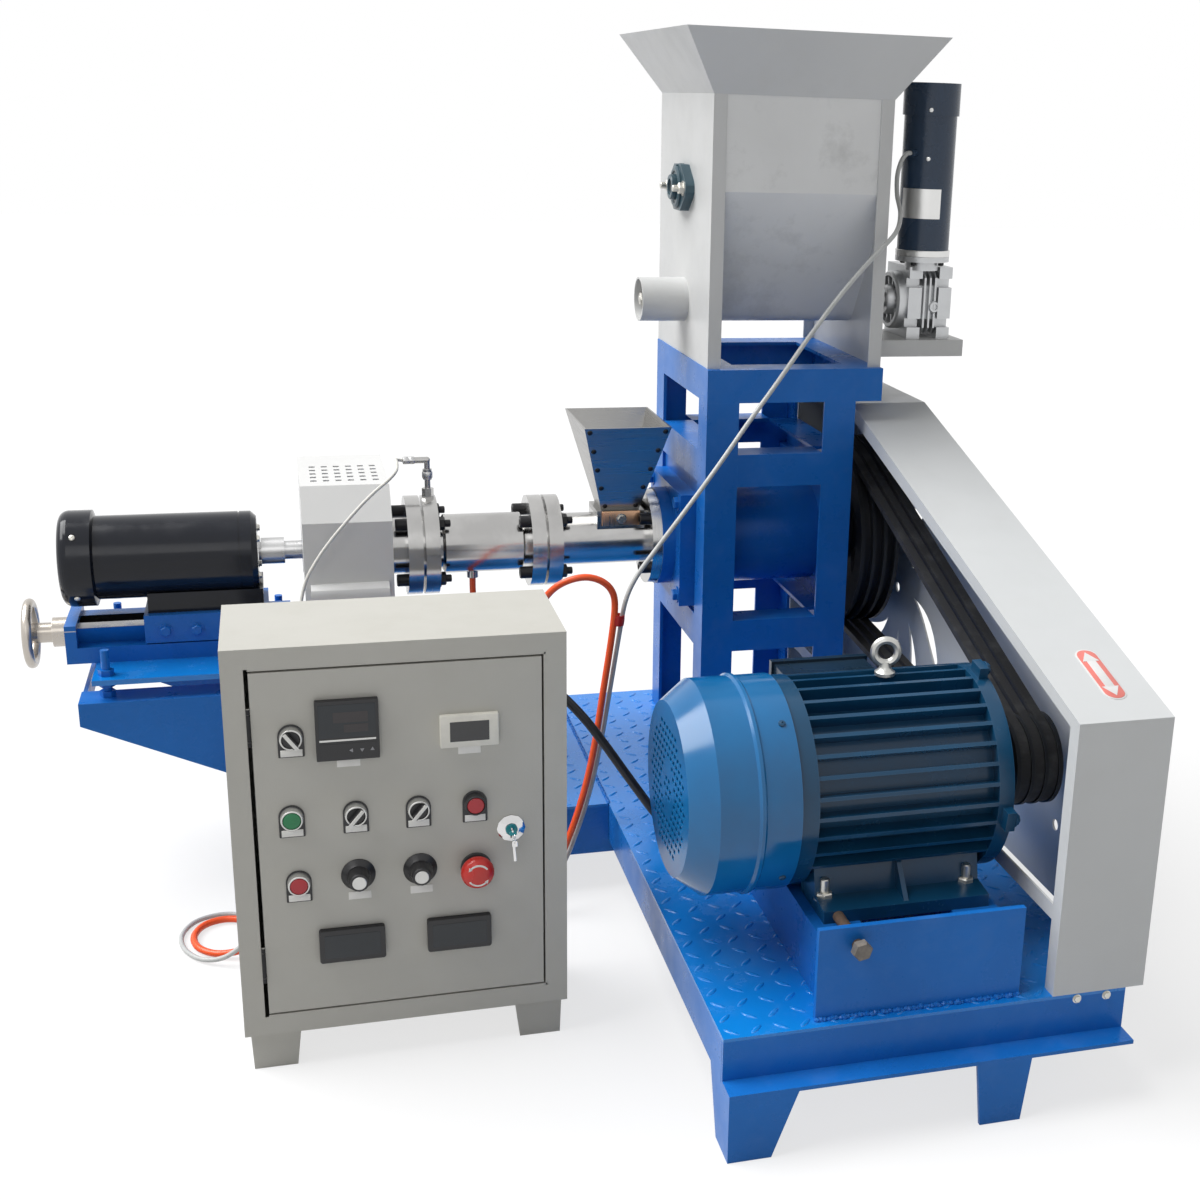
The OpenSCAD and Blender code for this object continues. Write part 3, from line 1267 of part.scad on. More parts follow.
// Cables from the machine to its cabinet
module motor_cable() color(black) machine() cable(motor_cable_route, motor_cable_d, 3, 12);
module heater_lead() color([0.9, 0.3, 0.1]) machine() cable(heater_lead_route, heater_lead_d, 2, 10);
module feeder_cable() color([0.75, 0.75, 0.73]) machine() cable(feeder_cable_route, feeder_cable_d, 2, 8);
module probe_lead() color([0.9, 0.9, 0.88]) machine() cable(probe_lead_route, probe_lead_d, 3, 8);

base_frame();
deck_plates();
base_feet();
tower_posts();
tower_rails();
top_frame();
housing_plates();
bearing_housing();
screw_shaft();
screw_pulley();
rear_barrel();
front_barrel();
die_head();
temperature_probe();
feed_funnel();
die_cover();
cover_stand();
cutter_motor();
cutter_shaft();
slide_base();
slide_carriage();
handwheel();
levelling_plate();
levelling_studs();
bracket_sides();
bracket_ends();
hopper_sides();
hopper_trough();
hopper_flare();
auger_tube();
feed_auger();
agitator();
agitator_bearings();
feed_chain();
feeder_gearbox();
feeder_motor();
gearbox_shelf();
motor_frame();
motor_end_bells();
motor_cowl();
terminal_box();
lifting_eye();
motor_rails();
motor_base_plate();
tension_bolts();
motor_pulley();
drive_belts();
guard_wrap();
guard_side();
cabinet_box();
cabinet_feet();
cabinet_door();
panel_buttons();
panel_knobs();
panel_meters();
door_lock();
motor_cable();
heater_lead();
feeder_cable();
probe_lead();
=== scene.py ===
import math
import bmesh
import bpy
from mathutils import Matrix, Vector
from mathutils.geometry import interpolate_bezier


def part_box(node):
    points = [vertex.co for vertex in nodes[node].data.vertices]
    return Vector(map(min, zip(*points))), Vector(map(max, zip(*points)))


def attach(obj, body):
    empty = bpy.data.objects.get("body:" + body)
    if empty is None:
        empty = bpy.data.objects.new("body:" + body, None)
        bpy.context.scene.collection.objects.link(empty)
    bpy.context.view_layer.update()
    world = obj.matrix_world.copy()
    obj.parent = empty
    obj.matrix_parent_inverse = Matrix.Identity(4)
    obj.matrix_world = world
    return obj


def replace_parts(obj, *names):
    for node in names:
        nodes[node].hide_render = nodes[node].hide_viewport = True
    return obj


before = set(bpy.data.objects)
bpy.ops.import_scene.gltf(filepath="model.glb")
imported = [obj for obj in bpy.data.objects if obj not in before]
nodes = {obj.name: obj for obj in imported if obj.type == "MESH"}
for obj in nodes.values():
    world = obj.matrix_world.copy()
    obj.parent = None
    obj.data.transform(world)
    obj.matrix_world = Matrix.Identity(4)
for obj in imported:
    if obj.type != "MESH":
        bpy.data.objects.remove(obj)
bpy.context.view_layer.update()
mm = 0.001
print("frame loaded,", len(nodes), "nodes")

# Where the machine's own measures start: the tower's left face, the screw's axis and the floor
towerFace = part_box("tower_posts")[0].x
dieLow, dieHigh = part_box("die_head")
screwAxis = (dieLow + dieHigh) / 2


def at(x, y, z):
    return Vector((towerFace + x * mm, screwAxis.y + y * mm, z * mm))


# A frame at a place whose Z runs along an axis
def facing(place, axis, turn=0):
    lean = Vector(axis).to_track_quat("Z", "Y").to_matrix().to_4x4()
    return Matrix.Translation(place) @ lean @ Matrix.Rotation(math.radians(turn), 4, "Z")


# Camera at the photograph's place
cameraSetup = {
    "place": (-0.3413, -2.1170, 1.1655),
    "yaw": 0.296,                # towards +X
    "pitch": -0.306,
    "roll": 0.036,
    "focal": 1614.0,             # in pixels of the photograph
    "principal": (759.6, 615.2),
    "photoSize": 1200,
}


def addCamera(setup):
    yaw, pitch, roll = setup["yaw"], setup["pitch"], setup["roll"]
    forward = Vector((math.sin(yaw) * math.cos(pitch), math.cos(yaw) * math.cos(pitch), math.sin(pitch)))
    level = Vector((math.cos(yaw), -math.sin(yaw), 0))
    upright = level.cross(forward)
    right = level * math.cos(roll) + upright * math.sin(roll)
    up = upright * math.cos(roll) - level * math.sin(roll)
    data = bpy.data.cameras.new("photo_camera")
    size = setup["photoSize"]
    data.sensor_width = 36
    data.lens = data.sensor_width * setup["focal"] / size
    data.shift_x = (size / 2 - setup["principal"][0]) / size
    data.shift_y = (setup["principal"][1] - size / 2) / size
    data.clip_end = 50
    camera = bpy.data.objects.new("photo_camera", data)
    turn = Matrix((right, up, -forward)).transposed()
    camera.matrix_world = Matrix.Translation(setup["place"]) @ turn.to_4x4()
    bpy.context.scene.collection.objects.link(camera)
    bpy.context.scene.camera = camera


addCamera(cameraSetup)
bpy.context.scene.view_settings.view_transform = "Standard"


# Soft studio light from above and the left, a white surround and a pale floor
lightSetup = {
    "surround": 0.22,            # light from all round
    "sun": {"from": (-0.54, 0.18, 0.82), "strength": 4.0, "softness": 50},
    "fill": {"place": (-0.9, -2.9, 2.6), "aim": (0.45, 0.35, 1.1), "size": 1.6, "power": 2.5, "spread": 70},
    "floorColour": (0.55, 0.55, 0.55),
    "seenColour": (0.95, 0.95, 0.95),    # the floor as the camera sees it
    "floorWhite": 0.72,          # share of the floor that stays white under the shadow
    "floorHalf": 14,
}


# One where a ray comes from the camera, a mirror or a pane
def viewRays(tree):
    path = tree.nodes.new("ShaderNodeLightPath")
    seen = path.outputs["Is Camera Ray"]
    for name in ("Is Glossy Ray", "Is Transmission Ray"):
        either = tree.nodes.new("ShaderNodeMath")
        either.operation = "MAXIMUM"
        tree.links.new(seen, either.inputs[0])
        tree.links.new(path.outputs[name], either.inputs[1])
        seen = either.outputs[0]
    return seen


def mixShaders(tree, factor, first, second):
    node = tree.nodes.new("ShaderNodeMixShader")
    if isinstance(factor, float):
        node.inputs["Fac"].default_value = factor
    else:
        tree.links.new(factor, node.inputs["Fac"])
    tree.links.new(first, node.inputs[1])
    tree.links.new(second, node.inputs[2])
    return node.outputs[0]


def aimAt(holder, place, direction):
    turn = direction.to_track_quat("-Z", "Y").to_matrix().to_4x4()
    holder.matrix_world = Matrix.Translation(place) @ turn
    bpy.context.scene.collection.objects.link(holder)


def addLights(setup):
    sun = bpy.data.lights.new("key_sun", "SUN")
    sun.energy = setup["sun"]["strength"]
    sun.angle = math.radians(setup["sun"]["softness"])
    source = Vector(setup["sun"]["from"])
    aimAt(bpy.data.objects.new("key_sun", sun), source * 5, -source)
    fill = bpy.data.lights.new("front_softbox", "AREA")
    fill.size = setup["fill"]["size"]
    fill.energy = setup["fill"]["power"]
    fill.spread = math.radians(setup["fill"]["spread"])
    place = Vector(setup["fill"]["place"])
    aimAt(bpy.data.objects.new("front_softbox", fill), place, Vector(setup["fill"]["aim"]) - place)
    world = bpy.data.worlds.new("studio")
    bpy.context.scene.world = world
    world.use_nodes = True
    tree = world.node_tree
    tree.nodes.clear()
    output = tree.nodes.new("ShaderNodeOutputWorld")
    light = tree.nodes.new("ShaderNodeBackground")
    light.inputs["Strength"].default_value = setup["surround"]
    white = tree.nodes.new("ShaderNodeBackground")
    white.inputs["Color"].default_value = (1, 1, 1, 1)
    light.inputs["Color"].default_value = (1, 1, 1, 1)
    tree.links.new(mixShaders(tree, viewRays(tree), light.outputs[0], white.outputs[0]),
                   output.inputs["Surface"])


def addFloor(setup):
    bm = bmesh.new()
    bmesh.ops.create_grid(bm, x_segments=1, y_segments=1, size=setup["floorHalf"])
    bmesh.ops.translate(bm, verts=bm.verts, vec=(0, 0, -0.5 * mm))
    mesh = bpy.data.meshes.new("studio_floor")
    bm.to_mesh(mesh)
    bm.free()
    floor = bpy.data.objects.new("studio_floor", mesh)
    bpy.context.scene.collection.objects.link(floor)
    material = bpy.data.materials.new("floor_white")
    material.use_nodes = True
    tree = material.node_tree
    plain = tree.nodes["Principled BSDF"]
    plain.inputs["Base Color"].default_value = (*setup["floorColour"], 1)
    plain.inputs["Roughness"].default_value = 0.9
    plain.inputs["Specular IOR Level"].default_value = 0.1
    seen = tree.nodes.new("ShaderNodeBsdfDiffuse")
    seen.inputs["Color"].default_value = (*setup["seenColour"], 1)
    glow = tree.nodes.new("ShaderNodeEmission")
    glow.inputs["Color"].default_value = (1, 1, 1, 1)
    pale = mixShaders(tree, setup["floorWhite"], seen.outputs[0], glow.outputs[0])
    shown = mixShaders(tree, viewRays(tree), plain.outputs[0], pale)
    tree.links.new(shown, tree.nodes["Material Output"].inputs["Surface"])
    mesh.materials.append(material)


addLights(lightSetup)
addFloor(lightSetup)
print("camera, lights and floor ready")


# Helpers for material nodes
def newMaterial(name, colour, rough, metal=0.0):
    material = bpy.data.materials.new(name)
    material.use_nodes = True
    shader = material.node_tree.nodes["Principled BSDF"]
    shader.inputs["Base Color"].default_value = (*colour, 1)
    shader.inputs["Roughness"].default_value = rough
    shader.inputs["Metallic"].default_value = metal
    material.diffuse_color = (*colour, 1)
    return material, material.node_tree, shader


def place(tree, scale=(1, 1, 1), turn=(0, 0, 0), shift=(0, 0, 0)):
    coords = tree.nodes.new("ShaderNodeTexCoord")
    mapping = tree.nodes.new("ShaderNodeMapping")
    mapping.inputs["Scale"].default_value = scale
    mapping.inputs["Rotation"].default_value = turn
    mapping.inputs["Location"].default_value = shift
    tree.links.new(coords.outputs["Object"], mapping.inputs["Vector"])
    return mapping.outputs["Vector"]


def noise(tree, scale, detail=3.0, rough=0.55, vector=None):
    texture = tree.nodes.new("ShaderNodeTexNoise")
    texture.inputs["Scale"].default_value = scale
    texture.inputs["Detail"].default_value = detail
    texture.inputs["Roughness"].default_value = rough
    tree.links.new(vector or place(tree), texture.inputs["Vector"])
    return texture.outputs["Fac"]


def spread(tree, value, fromLow, fromHigh, toLow, toHigh):
    node = tree.nodes.new("ShaderNodeMapRange")
    ends = {"From Min": fromLow, "From Max": fromHigh, "To Min": toLow, "To Max": toHigh}
    for name, number in ends.items():
        node.inputs[name].default_value = number
    tree.links.new(value, node.inputs["Value"])
    return node.outputs["Result"]


def tint(tree, factor, first, second):
    node = tree.nodes.new("ShaderNodeMix")
    node.data_type = "RGBA"
    tree.links.new(factor, node.inputs["Factor"])
    for socket, colour in ((node.inputs[6], first), (node.inputs[7], second)):
        if isinstance(colour, tuple):
            socket.default_value = (*colour, 1)
        else:
            tree.links.new(colour, socket)
    return node.outputs[2]


def combine(tree, operation, first, second):
    node = tree.nodes.new("ShaderNodeMath")
    node.operation = operation
    for socket, value in ((node.inputs[0], first), (node.inputs[1], second)):
        if isinstance(value, (int, float)):
            socket.default_value = value
        else:
            tree.links.new(value, socket)
    return node.outputs[0]


def bump(tree, shader, height, strength, distance=0.001):
    node = tree.nodes.new("ShaderNodeBump")
    node.inputs["Strength"].default_value = strength
    node.inputs["Distance"].default_value = distance
    tree.links.new(height, node.inputs["Height"])
    tree.links.new(node.outputs["Normal"], shader.inputs["Normal"])


# How sharp an edge is at each point, from a rounded normal against the true one
def edgeMask(tree, radius):
    rounded = tree.nodes.new("ShaderNodeBevel")
    rounded.samples = 4
    rounded.inputs["Radius"].default_value = radius
    true = tree.nodes.new("ShaderNodeNewGeometry")
    dot = tree.nodes.new("ShaderNodeVectorMath")
    dot.operation = "DOT_PRODUCT"
    tree.links.new(rounded.outputs["Normal"], dot.inputs[0])
    tree.links.new(true.outputs["Normal"], dot.inputs[1])
    return spread(tree, dot.outputs["Value"], 0.98, 0.75, 0.0, 1.0)


# Sprayed enamel: cloudy colour, orange peel, dust in patches, and edges lightened towards the edge colour,
# partly thin paint and partly a painted highlight
def enamel(name, colour, dark, edge, rough=0.26, peel=0.05, dust=(0.5, 0.55, 0.6), dusty=0.05, shine=0.22):
    material, tree, shader = newMaterial(name, colour, rough)
    cloud = noise(tree, 5.0, 4)
    body = tint(tree, spread(tree, cloud, 0.3, 0.7, 0, 1), dark, colour)
    patches = noise(tree, 17.0, 6, 0.65)
    dusted = tint(tree, spread(tree, patches, 0.52, 0.78, 0.0, dusty), body, dust)
    # Lighter colour at the sharp edges, broken up by noise: partly worn thin paint, partly a painted
    # highlight
    edgeBreakup = spread(tree, noise(tree, 60.0, 3), 0.46, 0.64, 0.04, 0.3)
    edgeWearAndHighlight = combine(tree, "MULTIPLY", edgeMask(tree, 0.0015), edgeBreakup)
    painted = tint(tree, edgeWearAndHighlight, dusted, edge)
    tree.links.new(painted, shader.inputs["Base Color"])
    tree.links.new(spread(tree, patches, 0.4, 0.8, rough, rough + 0.2), shader.inputs["Roughness"])
    bump(tree, shader, noise(tree, 420.0, 2), peel)
    shader.inputs["Specular IOR Level"].default_value = shine
    return material


# Turned steel: fine rings across X, with faint smears
def turnedSteel(name, colour, rough, metal=1.0):
    material, tree, shader = newMaterial(name, colour, rough, metal)
    lathe = noise(tree, 1.0, 3, 0.7, place(tree, (900, 6, 6)))
    smear = noise(tree, 9.0, 5, 0.6)
    tree.links.new(tint(tree, spread(tree, smear, 0.35, 0.7, 0, 1), tuple(c * 0.8 for c in colour), colour),
                   shader.inputs["Base Color"])
    tree.links.new(combine(tree, "ADD", spread(tree, lathe, 0.3, 0.7, rough - 0.04, rough + 0.06),
                           spread(tree, smear, 0.4, 0.75, 0.0, 0.1)), shader.inputs["Roughness"])
    bump(tree, shader, lathe, 0.06, 0.0004)
    return material


# Brushed sheet: streaks along one axis
def brushedSheet(name, colour, rough, streak):
    material, tree, shader = newMaterial(name, colour, rough, 1.0)
    lines = noise(tree, 1.0, 4, 0.7, place(tree, streak))
    smear = noise(tree, 7.0, 4)
    tree.links.new(tint(tree, spread(tree, smear, 0.3, 0.7, 0, 1), tuple(c * 0.86 for c in colour), colour),
                   shader.inputs["Base Color"])
    tree.links.new(spread(tree, lines, 0.3, 0.7, rough - 0.06, rough + 0.08), shader.inputs["Roughness"])
    bump(tree, shader, lines, 0.04, 0.0003)
    return material


# Cast metal, bare or painted: a sandy skin, and lighter edges that are partly rubbed wear and partly a
# painted highlight
def casting(name, colour, dark, rough, metal=0.0, grain=260.0, depth=0.25, shine=0.4):
    material, tree, shader = newMaterial(name, colour, rough, metal)
    shader.inputs["Specular IOR Level"].default_value = shine
    cloud = noise(tree, 11.0, 5)
    body = tint(tree, spread(tree, cloud, 0.3, 0.72, 0, 1), dark, colour)
    # Edges lightened: partly rubbed wear, partly a painted highlight
    rubAndHighlight = combine(tree, "MULTIPLY", edgeMask(tree, 0.0015), 0.35)
    tree.links.new(tint(tree, rubAndHighlight, body, tuple(min(1, c * 1.6 + 0.05) for c in colour)),
                   shader.inputs["Base Color"])
    tree.links.new(spread(tree, cloud, 0.3, 0.8, rough - 0.05, rough + 0.12), shader.inputs["Roughness"])
    bump(tree, shader, noise(tree, grain, 4, 0.65), depth, 0.0006)
    return material


# Moulded rubber: matt, with a fine cloth grain and dust
def beltRubber(name, colour, rough=0.62):
    material, tree, shader = newMaterial(name, colour, rough)
    dust = noise(tree, 22.0, 5, 0.65)
    tree.links.new(tint(tree, spread(tree, dust, 0.5, 0.8, 0, 0.4), colour, (0.12, 0.12, 0.12)),
                   shader.inputs["Base Color"])
    bump(tree, shader, noise(tree, 900.0, 2), 0.2, 0.0004)
    return material


# Rusted steel: brown bloom over dull metal
def rustySteel(name, dull, rust):
    material, tree, shader = newMaterial(name, dull, 0.6, 0.3)
    bloom = noise(tree, 90.0, 6, 0.7)
    tree.links.new(tint(tree, spread(tree, bloom, 0.35, 0.65, 0, 1), dull, rust),
                   shader.inputs["Base Color"])
    bump(tree, shader, bloom, 0.35, 0.0008)
    return material


# Smooth moulded plastic
def plastic(name, colour, rough):
    material, tree, shader = newMaterial(name, colour, rough)
    haze = noise(tree, 40.0, 3)
    tree.links.new(tint(tree, spread(tree, haze, 0.3, 0.7, 0, 1), tuple(c * 0.88 for c in colour), colour),
                   shader.inputs["Base Color"])
    tree.links.new(spread(tree, haze, 0.3, 0.7, rough - 0.05, rough + 0.08), shader.inputs["Roughness"])
    bump(tree, shader, noise(tree, 1500.0, 2), 0.04, 0.0002)
    return material


# Frame enamel with the dovetail's front rail scraped bare on top, and painted shade, near black, down in the
# slot
def wornSlide(name, colour, dark, steel, bareZ, slotHalf):
    material = enamel(name, colour, dark, (0.10, 0.26, 0.60))
    tree = material.node_tree
    shader = tree.nodes["Principled BSDF"]
    split = tree.nodes.new("ShaderNodeSeparateXYZ")
    tree.links.new(place(tree), split.inputs[0])
    level = combine(tree, "ABSOLUTE", combine(tree, "SUBTRACT", split.outputs["Z"], bareZ), 0)
    bare = spread(tree, level, 0.0004, 0.0010, 1.0, 0.0)
    across = combine(tree, "SUBTRACT", split.outputs["Y"], screwAxis.y)
    nearer = combine(tree, "MULTIPLY", bare, combine(tree, "LESS_THAN", across, 0.0))
    scraped = combine(tree, "MULTIPLY", nearer, spread(tree, noise(tree, 38.0, 4), 0.3, 0.5, 0.55, 1.0))
    within = combine(tree, "LESS_THAN", combine(tree, "ABSOLUTE", across, 0), slotHalf)
    sunken = combine(tree, "LESS_THAN", split.outputs["Z"], bareZ - 0.0006)
    painted = shader.inputs["Base Color"].links[0].from_socket
    # Near black below the top inside the slot: painted shade in the recess
    slotShade = tint(tree, combine(tree, "MULTIPLY", within, sunken), painted, (0.006, 0.006, 0.007))
    tree.links.new(tint(tree, scraped, slotShade, steel), shader.inputs["Base Color"])
    tree.links.new(combine(tree, "MULTIPLY", scraped, 0.75), shader.inputs["Metallic"])
    return material


# Extruded cable sheath: soft plastic with scuffs
def sheath(name, colour, rough, grime):
    material, tree, shader = newMaterial(name, colour, rough)
    scuff = noise(tree, 55.0, 5, 0.65)
    tree.links.new(tint(tree, spread(tree, scuff, 0.5, 0.78, 0, 0.35), colour, grime),
                   shader.inputs["Base Color"])
    tree.links.new(spread(tree, scuff, 0.35, 0.75, rough - 0.06, rough + 0.12), shader.inputs["Roughness"])
    bump(tree, shader, noise(tree, 700.0, 2), 0.08, 0.0003)
    return material


# Enamels: colour, its darker clouds, the lighter edge colour (thin paint and a painted highlight), and what
# differs from the plain coat
enamelSetup = {
    "frameBlue": ((0.011, 0.165, 0.570), (0.009, 0.132, 0.465), (0.06, 0.26, 0.66), {}),
    # The deck blue is a lighter copy of the frame blue, for the upward deck faces: painted light
    "deckBlueLit": ((0.005, 0.225, 0.690), (0.005, 0.180, 0.600), (0.10, 0.36, 0.74),
                 {"rough": 0.18, "dusty": 0.07, "shine": 0.5}),
    "guardWhite": ((0.61, 0.625, 0.63), (0.575, 0.59, 0.595), (0.68, 0.69, 0.70),
                   {"rough": 0.32, "dust": (0.55, 0.54, 0.5), "dusty": 0.1, "shine": 0.4}),
    # The cover white is a lighter copy of the white enamel, painted light that makes up for the cover's front
    # lying in shade
    "coverWhiteLit": ((0.75, 0.75, 0.74), (0.71, 0.71, 0.70), (0.80, 0.80, 0.79),
                   {"rough": 0.32, "dust": (0.55, 0.54, 0.5), "dusty": 0.08, "shine": 0.4}),
    "hopperGrey": ((0.61, 0.615, 0.61), (0.57, 0.575, 0.57), (0.68, 0.68, 0.68),
                   {"rough": 0.33, "dust": (0.45, 0.44, 0.42), "dusty": 0.12, "shine": 0.4}),
    # The trough grey is a lighter copy of the hopper grey, painted light for the trough down inside the
    # hopper; its patches are dust
    "troughGreyLit": ((0.80, 0.805, 0.80), (0.72, 0.725, 0.72), (0.82, 0.82, 0.82),
                   {"rough": 0.3, "dust": (0.40, 0.40, 0.39), "dusty": 0.5, "shine": 0.45}),
    "cabinetGrey": ((0.555, 0.545, 0.50), (0.515, 0.505, 0.46), (0.62, 0.61, 0.565),
                    {"rough": 0.42, "peel": 0.12, "dust": (0.42, 0.4, 0.34), "dusty": 0.1, "shine": 0.35}),
    # The faint blue in the cutter motor's black is a painted reflection of the blue frame
    "cutterBlack": ((0.010, 0.012, 0.019), (0.007, 0.009, 0.014), (0.06, 0.06, 0.07),
                    {"rough": 0.11, "peel": 0.01, "dust": (0.1, 0.1, 0.1), "dusty": 0.02, "shine": 0.3}),
    "feederNavy": ((0.022, 0.046, 0.088), (0.016, 0.034, 0.066), (0.09, 0.12, 0.17),
                   {"rough": 0.22, "peel": 0.02, "dust": (0.12, 0.13, 0.15), "dusty": 0.06, "shine": 0.45}),
}
# Castings: colour, darker clouds, roughness, metal, grain and depth of the skin, shine
castingSetup = {
    "wheelSteel": ((0.60, 0.56, 0.51), (0.48, 0.44, 0.39), 0.3, 0.85, 160, 0.1),
    "darkIron": ((0.035, 0.037, 0.042), (0.02, 0.022, 0.026), 0.45, 0.4),
    # The motor's teal enamel comes in two copies: darker on the finned frame and end bells (painted shade),
    # lighter on the cowl (painted light)
    "motorTealShaded": ((0.007, 0.070, 0.155), (0.006, 0.050, 0.112), 0.22, 0, 200, 0.1, 0.4),
    "cowlTealLit": ((0.005, 0.150, 0.380), (0.005, 0.120, 0.310), 0.16, 0, 200, 0.03, 0.5),
    "boxTeal": ((0.010, 0.028, 0.050), (0.008, 0.020, 0.036), 0.25, 0, 200, 0.05, 0.45),
    "castAluminium": ((0.62, 0.63, 0.64), (0.48, 0.49, 0.50), 0.38, 0.85, 320, 0.3),
    "bearingGreen": ((0.045, 0.090, 0.115), (0.032, 0.064, 0.082), 0.3, 0, 260, 0.1),
    "eyeZinc": ((0.60, 0.60, 0.58), (0.46, 0.46, 0.44), 0.34, 0.9, 200, 0.1),
    "boltBlack": ((0.022, 0.022, 0.024), (0.012, 0.012, 0.013), 0.38, 0.5, 500, 0.1),
    "boltZinc": ((0.66, 0.64, 0.58), (0.5, 0.49, 0.45), 0.3, 0.9, 400, 0.08),
}
# Turned metal: colour, roughness, metal
turnedSetup = {
    "turnedSteel": ((0.54, 0.535, 0.525), 0.16),
    "shaftSteel": ((0.60, 0.60, 0.60), 0.26),
    "chainSteel": ((0.30, 0.29, 0.28), 0.4),
    "bezelSilver": ((0.66, 0.66, 0.64), 0.3, 0.8),
    "lockChrome": ((0.78, 0.78, 0.78), 0.07),
}
# Brushed sheet: colour, roughness, how close the streaks lie along X, Y and Z
brushedSetup = {
    "stainless": ((0.36, 0.355, 0.345), 0.3, (8, 8, 500)),
    "copperStrip": ((0.60, 0.36, 0.22), 0.3, (400, 8, 8)),
    "plateSilver": ((0.74, 0.74, 0.73), 0.34, (8, 8, 700)),
}
# Rusted steel: dull metal, rust
rustySetup = {
    "rustyBolt": ((0.10, 0.075, 0.058), (0.17, 0.105, 0.07)),
    "headGrey": ((0.13, 0.12, 0.11), (0.21, 0.185, 0.16)),
}
# Plastics: colour, roughness
plasticSetup = {
    "panelBlack": ((0.016, 0.016, 0.018), 0.36),
    "capGreen": ((0.018, 0.235, 0.085), 0.28),
    "capRed": ((0.50, 0.030, 0.040), 0.28),
    "stopRed": ((0.64, 0.028, 0.020), 0.24),
    "labelWhite": ((0.90, 0.89, 0.85), 0.55),
    "meterCream": ((0.84, 0.82, 0.74), 0.4),
    "screenGrey": ((0.050, 0.050, 0.052), 0.16),
    "screenTint": ((0.012, 0.018, 0.024), 0.1),
    "digitWindow": ((0.035, 0.029, 0.031), 0.14),
    "keyGrey": ((0.34, 0.34, 0.36), 0.5),
    "keyTeal": ((0.004, 0.26, 0.30), 0.3),
    "decalRed": ((0.74, 0.20, 0.17), 0.42),
    "decalWhite": ((0.72, 0.72, 0.71), 0.42),
    "tapeRed": ((0.55, 0.020, 0.016), 0.4),
}
# Cable sheaths: colour, roughness, grime
sheathSetup = {
    "cordBlack": ((0.012, 0.012, 0.013), 0.42, (0.07, 0.07, 0.07)),
    "cordOrange": ((0.95, 0.105, 0.018), 0.32, (0.62, 0.08, 0.03)),
    "cordGrey": ((0.50, 0.51, 0.50), 0.36, (0.34, 0.34, 0.33)),
    "cordWhite": ((0.74, 0.73, 0.68), 0.5, (0.5, 0.48, 0.42)),
}
slideSetup = {
    "colour": (0.011, 0.165, 0.570), "dark": (0.009, 0.132, 0.465), "steel": (0.42, 0.42, 0.43),
    "bareZ": 0.400,              # height of the dovetail's top
    "slotHalf": 0.0183,          # half the width of the slot in it
}


def makeFinishes():
    made = {key: enamel(key, colour, dark, edge, **more)
            for key, (colour, dark, edge, more) in enamelSetup.items()}
    for maker, table in ((casting, castingSetup), (turnedSteel, turnedSetup), (brushedSheet, brushedSetup),
                         (rustySteel, rustySetup), (plastic, plasticSetup), (sheath, sheathSetup)):
        made.update({key: maker(key, *settings) for key, settings in table.items()})
    made["slideBlue"] = wornSlide("slideBlue", **slideSetup)
    made["beltBlack"] = beltRubber("beltBlack", (0.014, 0.014, 0.015))
    return made


finishes = makeFinishes()

# The machine's own pieces, apart from those that the scene replaces
nodeFinish = {
    "frameBlue": ["base_frame", "tower_posts", "tower_rails", "top_frame", "housing_plates",
                  "bearing_housing", "cover_stand", "slide_carriage", "bracket_sides", "bracket_ends",
                  "motor_rails", "motor_base_plate", "levelling_studs"],
    # The levelling plate takes the lighter deck blue: painted light on its top
    "deckBlueLit": ["deck_plates", "levelling_plate"],
    "slideBlue": ["slide_base"],
    "guardWhite": ["guard_wrap", "guard_side"],
    "coverWhiteLit": ["die_cover"],
    "hopperGrey": ["hopper_sides", "hopper_flare", "auger_tube", "gearbox_shelf"],
    "troughGreyLit": ["hopper_trough"],
    "cabinetGrey": ["cabinet_box", "cabinet_door"],
    "stainless": ["feed_funnel"],
    "turnedSteel": ["rear_barrel", "front_barrel", "die_head", "temperature_probe"],
    "shaftSteel": ["screw_shaft", "cutter_shaft", "feed_auger", "agitator"],
    "wheelSteel": ["handwheel"],
    "darkIron": ["screw_pulley", "motor_pulley"],
    "motorTealShaded": ["motor_frame", "motor_end_bells"],
    "cowlTealLit": ["motor_cowl"],
    "boxTeal": ["terminal_box"],
    "cutterBlack": ["cutter_motor"],
    "feederNavy": ["feeder_motor"],
    "beltBlack": ["drive_belts"],
    "chainSteel": ["feed_chain"],
}


def paintNodes(table):
    for finish, names in table.items():
        for name in names:
            mesh = nodes[name].data
            mesh.materials.clear()
            mesh.materials.append(finishes[finish])


paintNodes(nodeFinish)
print("finishes on the machine's own pieces")


# Shapes that several pieces share, all in mm in a frame of their own
def fresh(bm, known):
    return [vert for vert in bm.verts if vert not in known]


def onlyVerts(geom):
    return [item for item in geom if isinstance(item, bmesh.types.BMVert)]


# Copies of a pattern at many places, after which the pattern itself goes
def stamp(bm, spots):
    pattern = bm.verts[:] + bm.edges[:] + bm.faces[:]
    for spot in spots:
        copy = bmesh.ops.duplicate(bm, geom=pattern)["geom"]
        bmesh.ops.transform(bm, matrix=spot, verts=onlyVerts(copy))
    bmesh.ops.delete(bm, geom=onlyVerts(pattern), context="VERTS")


def settle(bm, known, spot, paint):
    made = fresh(bm, known)
    bmesh.ops.transform(bm, matrix=spot, verts=made)
    for face in {face for vert in made for face in vert.link_faces}:
        face.material_index = paint
    return made


